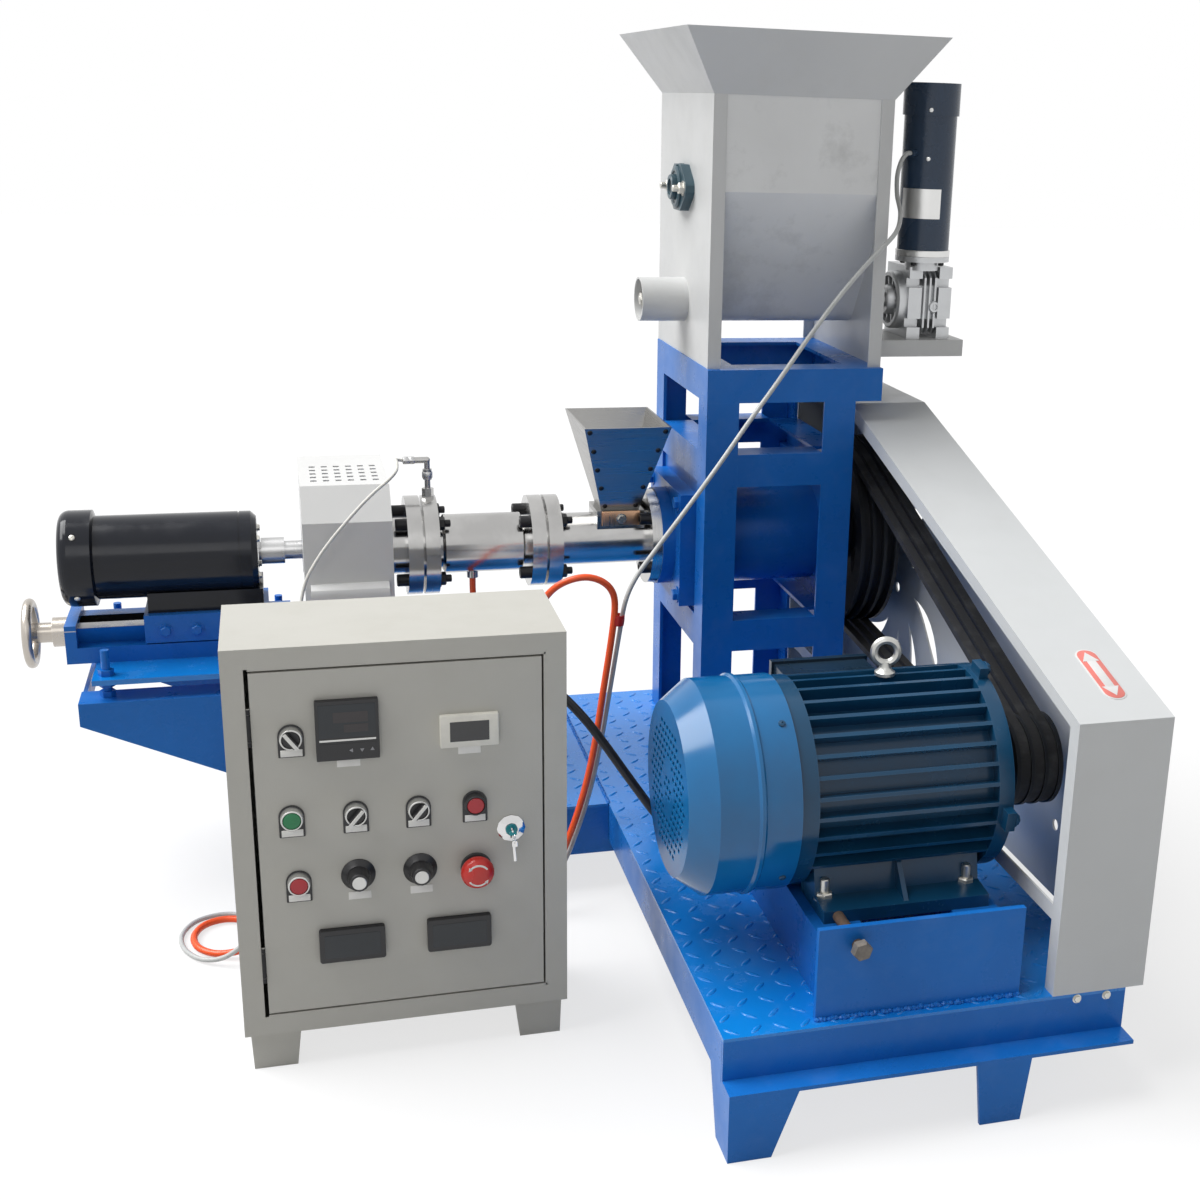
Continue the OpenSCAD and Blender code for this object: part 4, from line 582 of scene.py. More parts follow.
# A turned shape, closed by a base or by the wall of its bore: six steps make it a hexagon
def lathe(bm, spot, outline, steps=24, paint=0):
    known = set(bm.verts)
    first, last = outline[0], outline[-1]
    if first[0] > 0 and last[0] == 0:
        outline = [(0, first[1])] + outline
    row = [bm.verts.new((radius * mm, 0, height * mm)) for radius, height in outline]
    edges = [bm.edges.new(pair) for pair in zip(row, row[1:])]
    if first[0] > 0 and last[0] > 0 and first != last:
        edges.append(bm.edges.new((row[-1], row[0])))
    bmesh.ops.spin(bm, geom=row + edges, cent=(0, 0, 0), axis=(0, 0, 1), angle=math.tau, steps=steps,
                   use_merge=True)
    bmesh.ops.remove_doubles(bm, verts=fresh(bm, known), dist=1e-6)
    return settle(bm, known, spot, paint)


# A plate on its back, with its own corner rounding above and below, and softened edges
def plate(bm, spot, size, topCorner, lowCorner, edge=0.5, paint=0):
    known = set(bm.verts)
    bmesh.ops.create_cube(bm, size=1)
    made = fresh(bm, known)
    bmesh.ops.scale(bm, vec=[side * mm for side in size], verts=made)
    bmesh.ops.translate(bm, vec=(0, 0, size[2] * mm / 2), verts=made)
    for corner, upper in ((topCorner, True), (lowCorner, False)):
        posts = [one for one in {one for vert in fresh(bm, known) for one in vert.link_edges}
                 if abs(one.verts[0].co.z - one.verts[1].co.z) > size[2] * mm / 2
                 and (one.verts[0].co.y > 0) == upper]
        bmesh.ops.bevel(bm, geom=posts, offset=corner * mm, segments=7, profile=0.5, affect="EDGES",
                        material=-1)
    rim = [one for one in {one for vert in fresh(bm, known) for one in vert.link_edges}
           if min(vert.co.z for vert in one.verts) > (size[2] - 0.01) * mm]
    bmesh.ops.bevel(bm, geom=rim, offset=edge * mm, segments=2, profile=0.5, affect="EDGES", material=-1)
    return settle(bm, known, spot, paint)


# A flat outline drawn out along the frame's Z
def slab(bm, spot, outline, deep, paint=0):
    known = set(bm.verts)
    face = bm.faces.new([bm.verts.new((x * mm, y * mm, 0)) for x, y in outline])
    grown = bmesh.ops.extrude_face_region(bm, geom=[face], use_keep_orig=True)["geom"]
    bmesh.ops.translate(bm, vec=(0, 0, deep * mm), verts=onlyVerts(grown))
    return settle(bm, known, spot, paint)


# A frame at a place with its own X and Y, for outlines that stand upright
def standing(place, right, up):
    first, second = Vector(right), Vector(up)
    return Matrix.Translation(place) @ Matrix((first, second, first.cross(second))).transposed().to_4x4()


# A bar bent round the frame's Z, cut square at both ends, or a closed hoop
def bow(bm, spot, radius, wide, deep, start, sweep, steps=24, paint=0):
    known = set(bm.verts)
    corners = [bm.verts.new(((radius + out * wide / 2) * mm, 0, up * deep * mm))
               for out, up in ((-1, 0), (1, 0), (1, 1), (-1, 1))]
    face = bm.faces.new(corners)
    bmesh.ops.rotate(bm, verts=corners, cent=(0, 0, 0), matrix=Matrix.Rotation(math.radians(start), 3, "Z"))
    bmesh.ops.spin(bm, geom=corners + face.edges[:] + [face], cent=(0, 0, 0), axis=(0, 0, 1),
                   angle=math.radians(sweep), steps=steps)
    return settle(bm, known, spot, paint)


def ring(bm, spot, radius, thick, steps=24, paint=0):
    known = set(bm.verts)
    loop = bmesh.ops.create_circle(bm, segments=8, radius=thick * mm)["verts"]
    bmesh.ops.rotate(bm, verts=loop, cent=(0, 0, 0), matrix=Matrix.Rotation(math.pi / 2, 3, "X"))
    bmesh.ops.translate(bm, verts=loop, vec=(radius * mm, 0, 0))
    edges = list({edge for vert in loop for edge in vert.link_edges})
    bmesh.ops.spin(bm, geom=loop + edges, cent=(0, 0, 0), axis=(0, 0, 1), angle=math.tau, steps=steps,
                   use_merge=True)
    return settle(bm, known, spot, paint)


def disc(bm, spot, r, high, steps=20, paint=0):
    lathe(bm, spot, [(0, 0), (r, 0), (r, high), (0, high)], steps, paint)


def hexBolt(bm, spot, r, paint=0):
    disc(bm, spot, r * 1.3, r * 0.16, 20, paint)
    lathe(bm, spot, [(r, r * 0.16), (r, r * 0.72), (r * 0.84, r * 0.86), (0, r * 0.86)], 6, paint)


def socketBolt(bm, spot, r, long):
    socket = r * 0.55
    lathe(bm, spot, [(0, 0), (r, 0), (r, long - 1.4), (r - 1.2, long), (socket, long),
                     (socket, long * 0.55), (0, long * 0.55)], 20)


# A nut on a thread's end
def studNut(bm, spot, r, thread):
    stud = r * 0.55
    disc(bm, spot, r * 1.25, r * 0.14)
    lathe(bm, spot, [(r, r * 0.14), (r, r * 0.78), (r * 0.85, r * 0.92), (0, r * 0.92)], 6)
    lathe(bm, spot, [(stud, r * 0.8), (stud, thread - 1), (r * 0.45, thread), (0, thread)], 14)


def roundScrew(bm, spot, r):
    lathe(bm, spot, [(0, 0), (r, 0), (r, r * 0.25), (r * 0.8, r * 0.55), (r * 0.3, r * 0.68),
                     (r * 0.22, r * 0.4), (0, r * 0.4)], 14)


def newPiece(name, bm, body, finishNames):
    bmesh.ops.recalc_face_normals(bm, faces=bm.faces)
    mesh = bpy.data.meshes.new(name)
    bm.to_mesh(mesh)
    bm.free()
    for finish in finishNames:
        mesh.materials.append(finishes[finish])
    mesh.shade_smooth()
    mesh.set_sharp_from_angle(angle=math.radians(32))
    piece = bpy.data.objects.new(name, mesh)
    bpy.context.scene.collection.objects.link(piece)
    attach(piece, body)
    return piece


# Cables from the machine to its cabinet, each along the same points as its solid
cordSetup = [
    {"name": "motor_cord", "node": "motor_cable", "diameter": 13, "stiffness": "stiff", "lay": "loose",
     "finish": "cordBlack", "slot": "cable_black", "boots": (20, 22),
     "route": [(60, -535, 320), (60, -535, 298), (57, -530, 268), (46, -518, 236), (26, -498, 206),
               (-2, -474, 180), (-34, -450, 162), (-66, -428, 153), (-96, -412, 160), (-122, -402, 186),
               (-146, -396, 220), (-170, -391, 256), (-195, -387, 294), (-222, -381, 332), (-252, -374, 366),
               (-283, -368, 394), (-311, -367, 412), (-336, -373, 420), (-355, -389, 423), (-364, -414, 422),
               (-365, -440, 422)]},
    {"name": "heater_cord", "node": "heater_lead", "diameter": 10, "stiffness": "medium", "lay": "loose",
     "finish": "cordOrange", "slot": "cable_orange", "boots": (0, 20),
     "route": [(-333, 0, 438), (-333, 0, 416), (-332, -4, 392), (-328, -18, 368), (-321, -48, 352),
               (-312, -90, 350), (-302, -140, 364), (-292, -190, 392), (-281, -236, 430), (-269, -272, 470),
               (-254, -296, 500), (-234, -306, 515), (-210, -309, 520), (-188, -309, 514), (-172, -307, 499),
               (-166, -305, 476), (-170, -305, 430), (-182, -307, 350), (-196, -309, 260), (-212, -312, 190),
               (-236, -317, 120), (-266, -325, 60), (-306, -334, 20), (-360, -340, 7), (-460, -342, 6),
               (-570, -336, 6), (-644, -300, 6), (-690, -258, 6), (-726, -242, 6), (-756, -254, 6),
               (-769, -286, 6), (-761, -321, 6), (-735, -345, 7), (-700, -353, 14), (-667, -358, 35),
               (-639, -364, 65), (-617, -375, 92), (-604, -395, 107), (-600, -418, 110), (-600, -440, 110)]},
    {"name": "feeder_cord", "node": "feeder_cable", "diameter": 7, "stiffness": "medium", "lay": "loose",
     "finish": "cordGrey", "slot": "cable_grey", "boots": (0, 18),
     "route": [(340, -66, 1103), (332, -72, 1102), (320, -82, 1092), (311, -91, 1070), (304, -113, 1042),
               (299, -144, 1016), (282, -171, 990), (246, -180, 956), (197, -188, 904), (145, -200, 842),
               (95, -216, 780), (45, -232, 720), (-5, -248, 658), (-55, -265, 600), (-100, -281, 550),
               (-132, -292, 512), (-149, -298, 478), (-158, -300, 430), (-171, -302, 350), (-184, -303, 270),
               (-200, -306, 196), (-222, -309, 126), (-250, -313, 64), (-290, -318, 20), (-345, -323, 5),
               (-450, -326, 4), (-570, -319, 4), (-640, -282, 4), (-690, -239, 4), (-730, -222, 4),
               (-768, -236, 4), (-786, -275, 4), (-780, -318, 4), (-757, -352, 5), (-727, -369, 13),
               (-698, -376, 36), (-676, -383, 70), (-661, -398, 99), (-655, -420, 110), (-655, -440, 110)]},
    {"name": "probe_cord", "node": "probe_lead", "diameter": 5, "stiffness": "limp", "lay": "hanging",
     "finish": "cordWhite", "slot": "cable_white", "boots": (0, 14),
     "route": [(-433, 0, 628), (-440, -1, 629), (-447, -16, 633), (-449, -44, 639), (-450, -82, 641),
               (-454, -118, 638), (-466, -138, 630), (-486, -148, 616), (-508, -153, 596), (-532, -155, 570),
               (-554, -156, 544), (-574, -157, 516), (-590, -159, 486), (-599, -166, 446), (-600, -184, 400),
               (-596, -222, 350), (-588, -274, 308), (-577, -332, 284), (-567, -386, 277), (-561, -422, 280),
               (-560, -440, 280)]},
]


# Half the way between a point's neighbours, shared out over three, steers the curve through it
def curveThrough(name, points, thick):
    curve = bpy.data.curves.new(name, "CURVE")
    curve.dimensions = "3D"
    curve.bevel_depth = thick / 2
    curve.bevel_resolution = 4
    curve.resolution_u = 6
    curve.use_fill_caps = True
    spline = curve.splines.new("BEZIER")
    spline.bezier_points.add(len(points) - 1)
    for i, knot in enumerate(spline.bezier_points):
        before, after = points[max(i - 1, 0)], points[min(i + 1, len(points) - 1)]
        reach = (after - before) / 6
        knot.handle_left_type = knot.handle_right_type = "FREE"
        knot.co = points[i]
        knot.handle_left = points[i] - reach
        knot.handle_right = points[i] + reach
    return curve


def curveLength(curve):
    knots = curve.splines[0].bezier_points
    total = 0
    for first, second in zip(knots, knots[1:]):
        steps = interpolate_bezier(first.co, first.handle_right, second.handle_left, second.co, 24)
        total += sum((b - a).length for a, b in zip(steps, steps[1:]))
    return total


# A tapered sleeve that keeps the cable from kinking at its gland
def addBoot(name, setup, end, next, long):
    bm = bmesh.new()
    r = setup["diameter"] / 2
    collar, ribs = 3, 5
    outline = [(r, 0), (r + 4, 0), (r + 4, collar)]
    for i in range(ribs):
        radius = r + 3.4 - 2.2 * i / (ribs - 1)
        outline += [(radius, collar + (long - 4) * (i + side) / ribs) for side in (0, 0.6)]
    lathe(bm, facing(end, next - end), outline + [(r + 0.8, long), (r, long)], 20)
    return newPiece(name, bm, "machine", ["cordBlack"])


def addCord(setup):
    points = [at(*point) for point in setup["route"]]
    curve = curveThrough(setup["name"], points, setup["diameter"] * mm)
    curve.materials.append(finishes[setup["finish"]])
    cord = bpy.data.objects.new(setup["name"], curve)
    bpy.context.scene.collection.objects.link(cord)
    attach(cord, "machine")
    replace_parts(cord, setup["node"])
    ends = zip(("start", "end"), setup["boots"], ((points[0], points[1]), (points[-1], points[-2])))
    boots = [addBoot(f"{setup['name']}_boot_{label}", setup, end, next, long)
             for label, long, (end, next) in ends if long]
    return cord, points, curveLength(curve), boots


# Red tape that ties the two leads together where they come down
tieSetup = {"place": (-161, -302, 452), "along": (-0.10, -0.01, -1), "radius": 9.5, "height": 16}


def addTie(setup):
    bm = bmesh.new()
    r, half = setup["radius"], setup["height"] / 2
    spot = facing(at(*setup["place"]), setup["along"])
    lathe(bm, spot, [(r - 1, -half), (r, -half + 0.6), (r + 0.4, 0), (r, half - 0.6), (r - 1, half)], 24)
    return newPiece("cord_tie", bm, "machine", ["tapeRed"])


def addCords(setups, tie):
    for setup in setups:
        cord, points, length, extras = addCord(setup)
        if setup["name"] == "heater_cord":
            extras.append(addTie(tie))
        print("cord", setup["name"], round(length, 3), "m")


addCords(cordSetup, tieSetup)


# Raised lozenges of the checker plate, on the main sheet and on the wing
treadSetup = {
    "length": 23, "width": 6.5, "height": 1.6, "pitch": 30, "margin": 13,
    "mainLeft": -163, "wingFront": -257,
}


def addTreads(setup):
    low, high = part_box("deck_plates")
    top, gap, margin = high.z, setup["pitch"] * mm, setup["margin"] * mm
    split = at(setup["mainLeft"], setup["wingFront"], 0)
    sheets = [((split.x, low.y), (high.x, high.y)), ((low.x, split.y), (split.x, high.y))]
    bm = bmesh.new()
    bmesh.ops.create_uvsphere(bm, u_segments=8, v_segments=6, radius=1)
    bmesh.ops.bisect_plane(bm, geom=bm.verts[:] + bm.edges[:] + bm.faces[:], dist=1e-4, plane_co=(0, 0, 0),
                           plane_no=(0, 0, 1), clear_inner=True)
    bmesh.ops.holes_fill(bm, edges=bm.edges[:])
    half = (setup["length"] * mm / 2, setup["width"] * mm / 2, setup["height"] * mm)
    bmesh.ops.scale(bm, vec=half, verts=bm.verts)
    spots = []
    for (left, front), (right, back) in sheets:
        columns = int((right - left - 2 * margin) / gap) + 1
        rows = int((back - front - 2 * margin) / gap) + 1
        for i in range(columns):
            for j in range(rows):
                turn = Matrix.Rotation(math.radians(45 if (i + j) % 2 else -45), 4, "Z")
                corner = Vector((left + margin + i * gap, front + margin + j * gap, top))
                spots.append(Matrix.Translation(corner) @ turn)
    stamp(bm, spots)
    newPiece("deck_treads", bm, "machine", ["deckBlueLit"])


addTreads(treadSetup)
print("deck treads laid")


# Bolts round the barrel's flanges: heads on the left, nuts on the right
flangeSetup = [
    {"name": "mid_flange_bolts", "left": -247, "right": -199, "circle": 58, "turn": 45},
    {"name": "die_flange_bolts", "left": -436, "right": -388, "circle": 62, "turn": 45},
    {"name": "tower_flange_bolts", "left": -58, "right": None, "circle": 62, "turn": 40},
]
boltHead = {"radius": 9.5, "length": 17, "nut": 10.5, "nutTurn": 15, "thread": 18}


def addFlangeBolts(setups, head):
    for setup in setups:
        bm = bmesh.new()
        lift = math.radians(setup["turn"])
        across, up = setup["circle"] * math.cos(lift), setup["circle"] * math.sin(lift)
        for y in (-across, across):
            for z in (-up, up):
                height = screwAxis.z / mm + z
                spot = facing(at(setup["left"], y, height), (-1, 0, 0))
                socketBolt(bm, spot, head["radius"], head["length"])
                if setup["right"] is not None:
                    spot = facing(at(setup["right"], y, height), (1, 0, 0), head["nutTurn"])
                    studNut(bm, spot, head["nut"], head["thread"])
        newPiece(setup["name"], bm, "machine", ["boltBlack"])


addFlangeBolts(flangeSetup, boltHead)


# Painted bolts at the corners of the bearing housing's square flange
housingSetup = {"inset": 15, "radius": 10, "flange": 22}


def addHousingBolts(setup):
    low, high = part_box("bearing_housing")
    face = towerFace - setup["flange"] * mm
    inset = setup["inset"] * mm
    bm = bmesh.new()
    for y in (low.y + inset, high.y - inset):
        for z in (low.z + inset, high.z - inset):
            hexBolt(bm, facing(Vector((face, y, z)), (-1, 0, 0), 20), setup["radius"])
    newPiece("housing_bolts", bm, "machine", ["frameBlue"])


addHousingBolts(housingSetup)


# Rivets down the funnel's front and back sheets, and the coppery strip with its bolt at the foot
funnelSetup = {
    "throat": (60, 54), "foot": 537.5, "flange": 8, "rivets": 5, "rivet": 4.2, "edge": 7,
    "strip": (62, 24, 2.5), "stripBolt": 6.5,
}


def addFunnelTrim(setup):
    low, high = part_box("feed_funnel")
    middle = (low + high) / 2
    footZ = (setup["foot"] + setup["flange"]) * mm
    halfTop = (high - low) / 2
    halfLow = Vector((setup["throat"][0] * mm / 2, setup["throat"][1] * mm / 2, 0))
    bm = bmesh.new()
    for side in (-1, 1):
        normal = Vector((0, side * (high.z - footZ), -(halfTop.y - halfLow.y)))
        for edge in (-1, 1):
            for i in range(setup["rivets"]):
                share = 0.05 + 0.9 * i / (setup["rivets"] - 1)
                half = halfTop.lerp(halfLow, share)
                spot = Vector((middle.x + edge * (half.x - setup["edge"] * mm), middle.y + side * half.y,
                               high.z + (footZ - high.z) * share))
                r = setup["rivet"]
                lathe(bm, facing(spot, normal), [(r, -0.4), (r, 0.5), (r * 0.7, 1.6), (0, 2.1)], 12)
    newPiece("funnel_rivets", bm, "machine", ["boltBlack"])
    bm = bmesh.new()
    front = middle.y - halfLow.y - setup["flange"] * mm
    spot = Vector((middle.x, front, footZ - setup["strip"][1] * mm / 2))
    plate(bm, facing(spot, (0, -1, 0)), setup["strip"], 2, 2, 0.6)
    hexBolt(bm, facing(spot - Vector((0, setup["strip"][2] * mm, 0)), (0, -1, 0)), setup["stripBolt"], 1)
    newPiece("funnel_strip", bm, "machine", ["copperStrip", "boltZinc"])


addFunnelTrim(funnelSetup)
print("bolts and rivets placed")


# Cutter: gib bolts of the carriage, thread of the lead screw, set screws of the coupling, motor's screws
cutterSetup = {
    "gibX": (-791, -747), "gibZ": 394, "gibRadius": 8,
    "threadX": (-905, -640), "threadRadius": 8, "pitch": 5, "leadZ": 382,
    "cap": {"x": -908, "radius": 71, "screw": 4.5},
    "end": {"x": -655, "circle": 44, "bolt": 5},
    "coupling": {"x": (-645, -628), "radius": 18, "screw": (3.2, 3.4)},
}


# The way out from an axis along X
def outward(degrees):
    return Vector((0, math.cos(math.radians(degrees)), math.sin(math.radians(degrees))))


def addCutterTrim(setup):
    axisZ = screwAxis.z / mm
    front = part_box("slide_carriage")[0].y
    bm = bmesh.new()
    for x in setup["gibX"]:
        spot = at(x, 0, setup["gibZ"])
        spot.y = front
        hexBolt(bm, facing(spot, (0, -1, 0), 30), setup["gibRadius"])
    newPiece("gib_bolts", bm, "carriage", ["frameBlue"])

    bm = bmesh.new()
    left, right = setup["threadX"]
    turns = (right - left) / setup["pitch"]
    r, tooth = setup["threadRadius"], setup["pitch"] * 0.42
    corners = [bm.verts.new((radius * mm, 0, along * mm)) for radius, along in
               ((r - 0.4, -tooth), (r + 1.6, -tooth * 0.3), (r + 1.6, tooth * 0.3), (r - 0.4, tooth))]
    face = bm.faces.new(corners)
    steps = int(turns * 14)
    bmesh.ops.spin(bm, geom=corners + face.edges[:] + [face], cent=(0, 0, 0), axis=(0, 0, 1),
                   angle=math.tau * turns, steps=steps, dvec=(0, 0, (right - left) * mm / steps))
    bmesh.ops.transform(bm, matrix=facing(at(left, 0, setup["leadZ"]), (1, 0, 0)), verts=bm.verts)
    newPiece("lead_screw_thread", bm, "handwheel", ["shaftSteel"])

    bm = bmesh.new()
    cap, end = setup["cap"], setup["end"]
    for turn in (40, 140, 220, 320):
        out = outward(turn)
        roundScrew(bm, facing(at(cap["x"], 0, axisZ) + out * (cap["radius"] - 0.6) * mm, out), cap["screw"])
        hexBolt(bm, facing(at(end["x"], 0, axisZ) + out * end["circle"] * mm, (1, 0, 0)), end["bolt"])
    newPiece("cutter_motor_screws", bm, "carriage", ["boltZinc"])

    bm = bmesh.new()
    coupling = setup["coupling"]
    for x in coupling["x"]:
        for turn in (-120, 0):
            out = outward(turn)
            spot = at(x, 0, axisZ) + out * (coupling["radius"] - 2) * mm
            socketBolt(bm, facing(spot, out), *coupling["screw"])
    newPiece("coupling_screws", bm, "cutter", ["boltBlack"])


addCutterTrim(cutterSetup)
print("cutter dressed")


# Main motor: foot bolts, end bolts, cowl screws and the terminal lid's screws
motorSetup = {
    "axis": (-702, 362),
    "footTop": 245, "footX": (-6, 180), "footY": (-806, -598), "footNut": 10.5, "footThread": 27,
    "lugX": 223, "lugReach": 137, "lugTurn": 8, "lugBolt": 7.5,
    "cowlX": -62, "cowlRadius": 134, "cowlScrew": 4.5,
    "lidX": (19, 139), "lidZ": (347, 437), "lidY": -494, "lidScrew": 4,
}


def addMotorTrim(setup):
    axisY, axisZ = setup["axis"]
    bm = bmesh.new()
    for x in setup["footX"]:
        for y in setup["footY"]:
            spot = facing(at(x, y, setup["footTop"]), (0, 0, 1), 12)
            studNut(bm, spot, setup["footNut"], setup["footThread"])
    newPiece("motor_foot_bolts", bm, "machine", ["boltZinc"])
    bm = bmesh.new()
    for i in range(4):
        turn = math.radians(setup["lugTurn"] + 90 * i)
        out = Vector((0, math.sin(turn), -math.cos(turn)))
        spot = at(setup["lugX"], axisY, axisZ) + out * setup["lugReach"] * mm
        hexBolt(bm, facing(spot, (1, 0, 0)), setup["lugBolt"])
        side = Vector((0, math.sin(turn + math.pi / 4), math.cos(turn + math.pi / 4)))
        spot = at(setup["cowlX"], axisY, axisZ) + side * setup["cowlRadius"] * mm
        roundScrew(bm, facing(spot, side), setup["cowlScrew"])
    for x in setup["lidX"]:
        for z in setup["lidZ"]:
            roundScrew(bm, facing(at(x, setup["lidY"], z), (0, 1, 0)), setup["lidScrew"])
    newPiece("motor_screws", bm, "machine", ["motorTealShaded"])


addMotorTrim(motorSetup)


# The eye faces the front, the tension bolt's head stands off the base plate, two bolts hold the guard's foot
eyeSetup = {
    "collar": [(0, 0), (13, 0), (13, 4), (9, 7), (7, 11), (6.5, 17), (0, 17)],
    "ring": 15, "wire": 5, "lift": 30, "turn": -12,
}
tensionSetup = {"radius": 7, "head": 12.5, "headLength": 10, "standOff": 20}
guardBolts = {"x": (285, 325), "y": -926, "z": 137, "radius": 4.5}


def addMotorFittings(eye, tension, bolts):
    low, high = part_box("lifting_eye")
    foot = Vector(((low.x + high.x) / 2, (low.y + high.y) / 2, low.z))
    bm = bmesh.new()
    lathe(bm, Matrix.Translation(foot), eye["collar"], 28)
    upright = Matrix.Rotation(math.radians(eye["turn"]), 4, "Z") @ Matrix.Rotation(math.pi / 2, 4, "X")
    centre = Matrix.Translation(foot + Vector((0, 0, eye["lift"] * mm)))
    ring(bm, centre @ upright, eye["ring"], eye["wire"], 36)
    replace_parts(newPiece("lifting_ring", bm, "machine", ["eyeZinc"]), "lifting_eye")
    low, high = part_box("tension_bolts")
    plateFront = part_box("motor_base_plate")[0].y
    end = Vector(((low.x + high.x) / 2, high.y, (low.z + high.z) / 2))
    reach = (high.y - plateFront) / mm + tension["standOff"] - tension["headLength"]
    r, head, long = tension["radius"], tension["head"], tension["headLength"]
    bm = bmesh.new()
    disc(bm, facing(end, (0, -1, 0)), r, reach + 1, 24)
    lathe(bm, facing(end - Vector((0, reach * mm, 0)), (0, -1, 0), 12),
          [(0, 0), (head, 0), (head, long - 2), (head * 0.86, long), (0, long)], 6, 1)
    bolt = newPiece("tension_bolt", bm, "machine", ["rustyBolt", "headGrey"])
    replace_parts(bolt, "tension_bolts")
    bm = bmesh.new()
    for x in bolts["x"]:
        hexBolt(bm, facing(at(x, bolts["y"], bolts["z"]), (0, -1, 0)), bolts["radius"])
    newPiece("guard_bolts", bm, "machine", ["boltZinc"])


addMotorFittings(eyeSetup, tensionSetup, guardBolts)


# Weld beads: overlapping ripples along a seam
weldSetup = [
    {"name": "base_plate_weld", "start": (-46, -913, 145), "end": (211, -913, 145), "radius": 4.4},
    {"name": "tower_front_weld", "start": (2, -169, 145), "end": (50, -169, 145), "radius": 4},
    {"name": "tower_right_weld", "start": (185, -169, 145), "end": (233, -169, 145), "radius": 4},
    {"name": "wing_weld", "start": (-163, -255, 144), "end": (-163, 216, 144), "radius": 3},
]


def addWelds(setups):
    for setup in setups:
        start, end = at(*setup["start"]), at(*setup["end"])
        along = (end - start).normalized()
        r = setup["radius"] * mm
        count = int((end - start).length / (r * 1.1))
        bm = bmesh.new()
        bmesh.ops.create_icosphere(bm, subdivisions=1, radius=r)
        spots = []
        for i in range(count + 1):
            sway = 0.16 * r * Vector((math.sin(i * 2.3), math.sin(i * 1.7), math.sin(i * 3.1)))
            swell = Matrix.Scale(0.92 + 0.14 * math.sin(i * 1.9), 4)
            bead = Matrix.Translation(start.lerp(end, i / count) + sway)
            spots.append(bead @ swell @ Matrix.Rotation(i * 0.7, 4, along))
        stamp(bm, spots)
        newPiece(setup["name"], bm, "machine", ["frameBlue"])


addWelds(weldSetup)


# Turning mark on the guard's slope: a red oval with a pale arrow of two heads
markSetup = {
    "x": 323, "low": (-926, 499), "high": (-103, 723), "y": -835,
    "oval": (30, 106, 0.5), "red": (26, 101, 0.4), "shaft": (12, 53.2, 0.3), "head": 12.6, "headAt": 33,
}


def addTurningMark(setup):
    (lowY, lowZ), (highY, highZ) = setup["low"], setup["high"]
    rise = (highZ - lowZ) / (highY - lowY)
    up = Vector((0, 1, rise)).normalized()
    normal = Vector((0, -rise, 1)).normalized()
    side = up.cross(normal)
    face = Matrix((side, up, normal)).transposed().to_4x4()
    centre = at(setup["x"], setup["y"], lowZ + (setup["y"] - lowY) * rise)
    base = Matrix.Translation(centre) @ face
    bm = bmesh.new()
    for paint, size in enumerate((setup["oval"], setup["red"])):
        corner = size[0] / 2 - 0.2
        plate(bm, base, size, corner, corner, 0.1, paint)
        base = base @ Matrix.Translation((0, 0, size[2] * mm))
    plate(bm, base, setup["shaft"], 0.5, 0.5, 0.05)
    for end in (-1, 1):
        tip = Matrix.Translation((0, end * setup["headAt"] * mm, 0))
        disc(bm, base @ tip @ Matrix.Rotation(end * math.pi / 2, 4, "Z"), setup["head"], setup["shaft"][2], 3)
    newPiece("guard_turning_mark", bm, "machine", ["decalWhite", "decalRed"])


addTurningMark(markSetup)
print("motor, welds and guard dressed")


# Flange bearings of the agitator, in each a lozenge flange, a ringed boss and a grease nipple
bearingSetup = {
    "sides": [{"x": 2, "way": -1, "reach": 26, "stud": 17}, {"x": 276, "way": 1, "reach": 20, "stud": 0}],
    "quarter": [(20, 34), (50, 12), (55, 5)], "thick": 14, "boss": 31, "bore": 12.3, "z": 1042,
    "bolts": 40, "bolt": 9, "nipple": [(0, -6), (4, -6), (4, 2), (2, 4), (2.6, 6), (0, 7)],
}
# The small motor's bare plate, its foot ring and screws, and the nut on the auger's end
feederSetup = {
    "axis": (383, -34), "radius": 41,
    "plate": {"z": 1005, "tall": 45, "start": 188, "sweep": 94, "thick": 0.6},
    "ring": {"z": 946, "tall": 10},
    "screws": ((1095, 41), (1167, 44)),    # height and the motor's radius there
    "screwTurn": 248, "screw": 3.6,
    "nutX": -58, "nutRadius": 11, "nutThread": 11, "augerZ": 873,
}
casingSetup = {
    "plates": ((358, 22), (409, 22)), "half": 50, "low": 816, "high": 929, "notch": (18, 32, 13),
    "core": (378, 33, 38), "fins": (385, 394, 403), "finThick": 3, "finHalf": 47, "finCorner": 10,
    "coreCorner": 16, "coreDrop": 14, "finDrop": 7,
    "cover": {"x": 358, "ribs": 10, "rib": [(22, -2), (39, -2), (39, 2), (22, 2)], "ribDeep": 9, "ribLift": 4,
              "outline": [(13, 0), (46, 0), (46, 13), (43, 16), (38, 16), (37, 5), (25, 5), (23, 20),
                          (21, 24), (13, 24)]},
    "plug": {"x": 404, "z": 866, "inset": 6,
             "outline": [(0, -8), (10, -8), (10, 3), (8, 5), (5, 5), (4.6, 2), (0, 2)]},
    "neck": {"outline": [(0, 924), (27, 924), (27, 937), (43, 938), (43, 946), (0, 946)],
             "bolts": 33, "boltZ": 938, "bolt": (4.6, 6)},
}


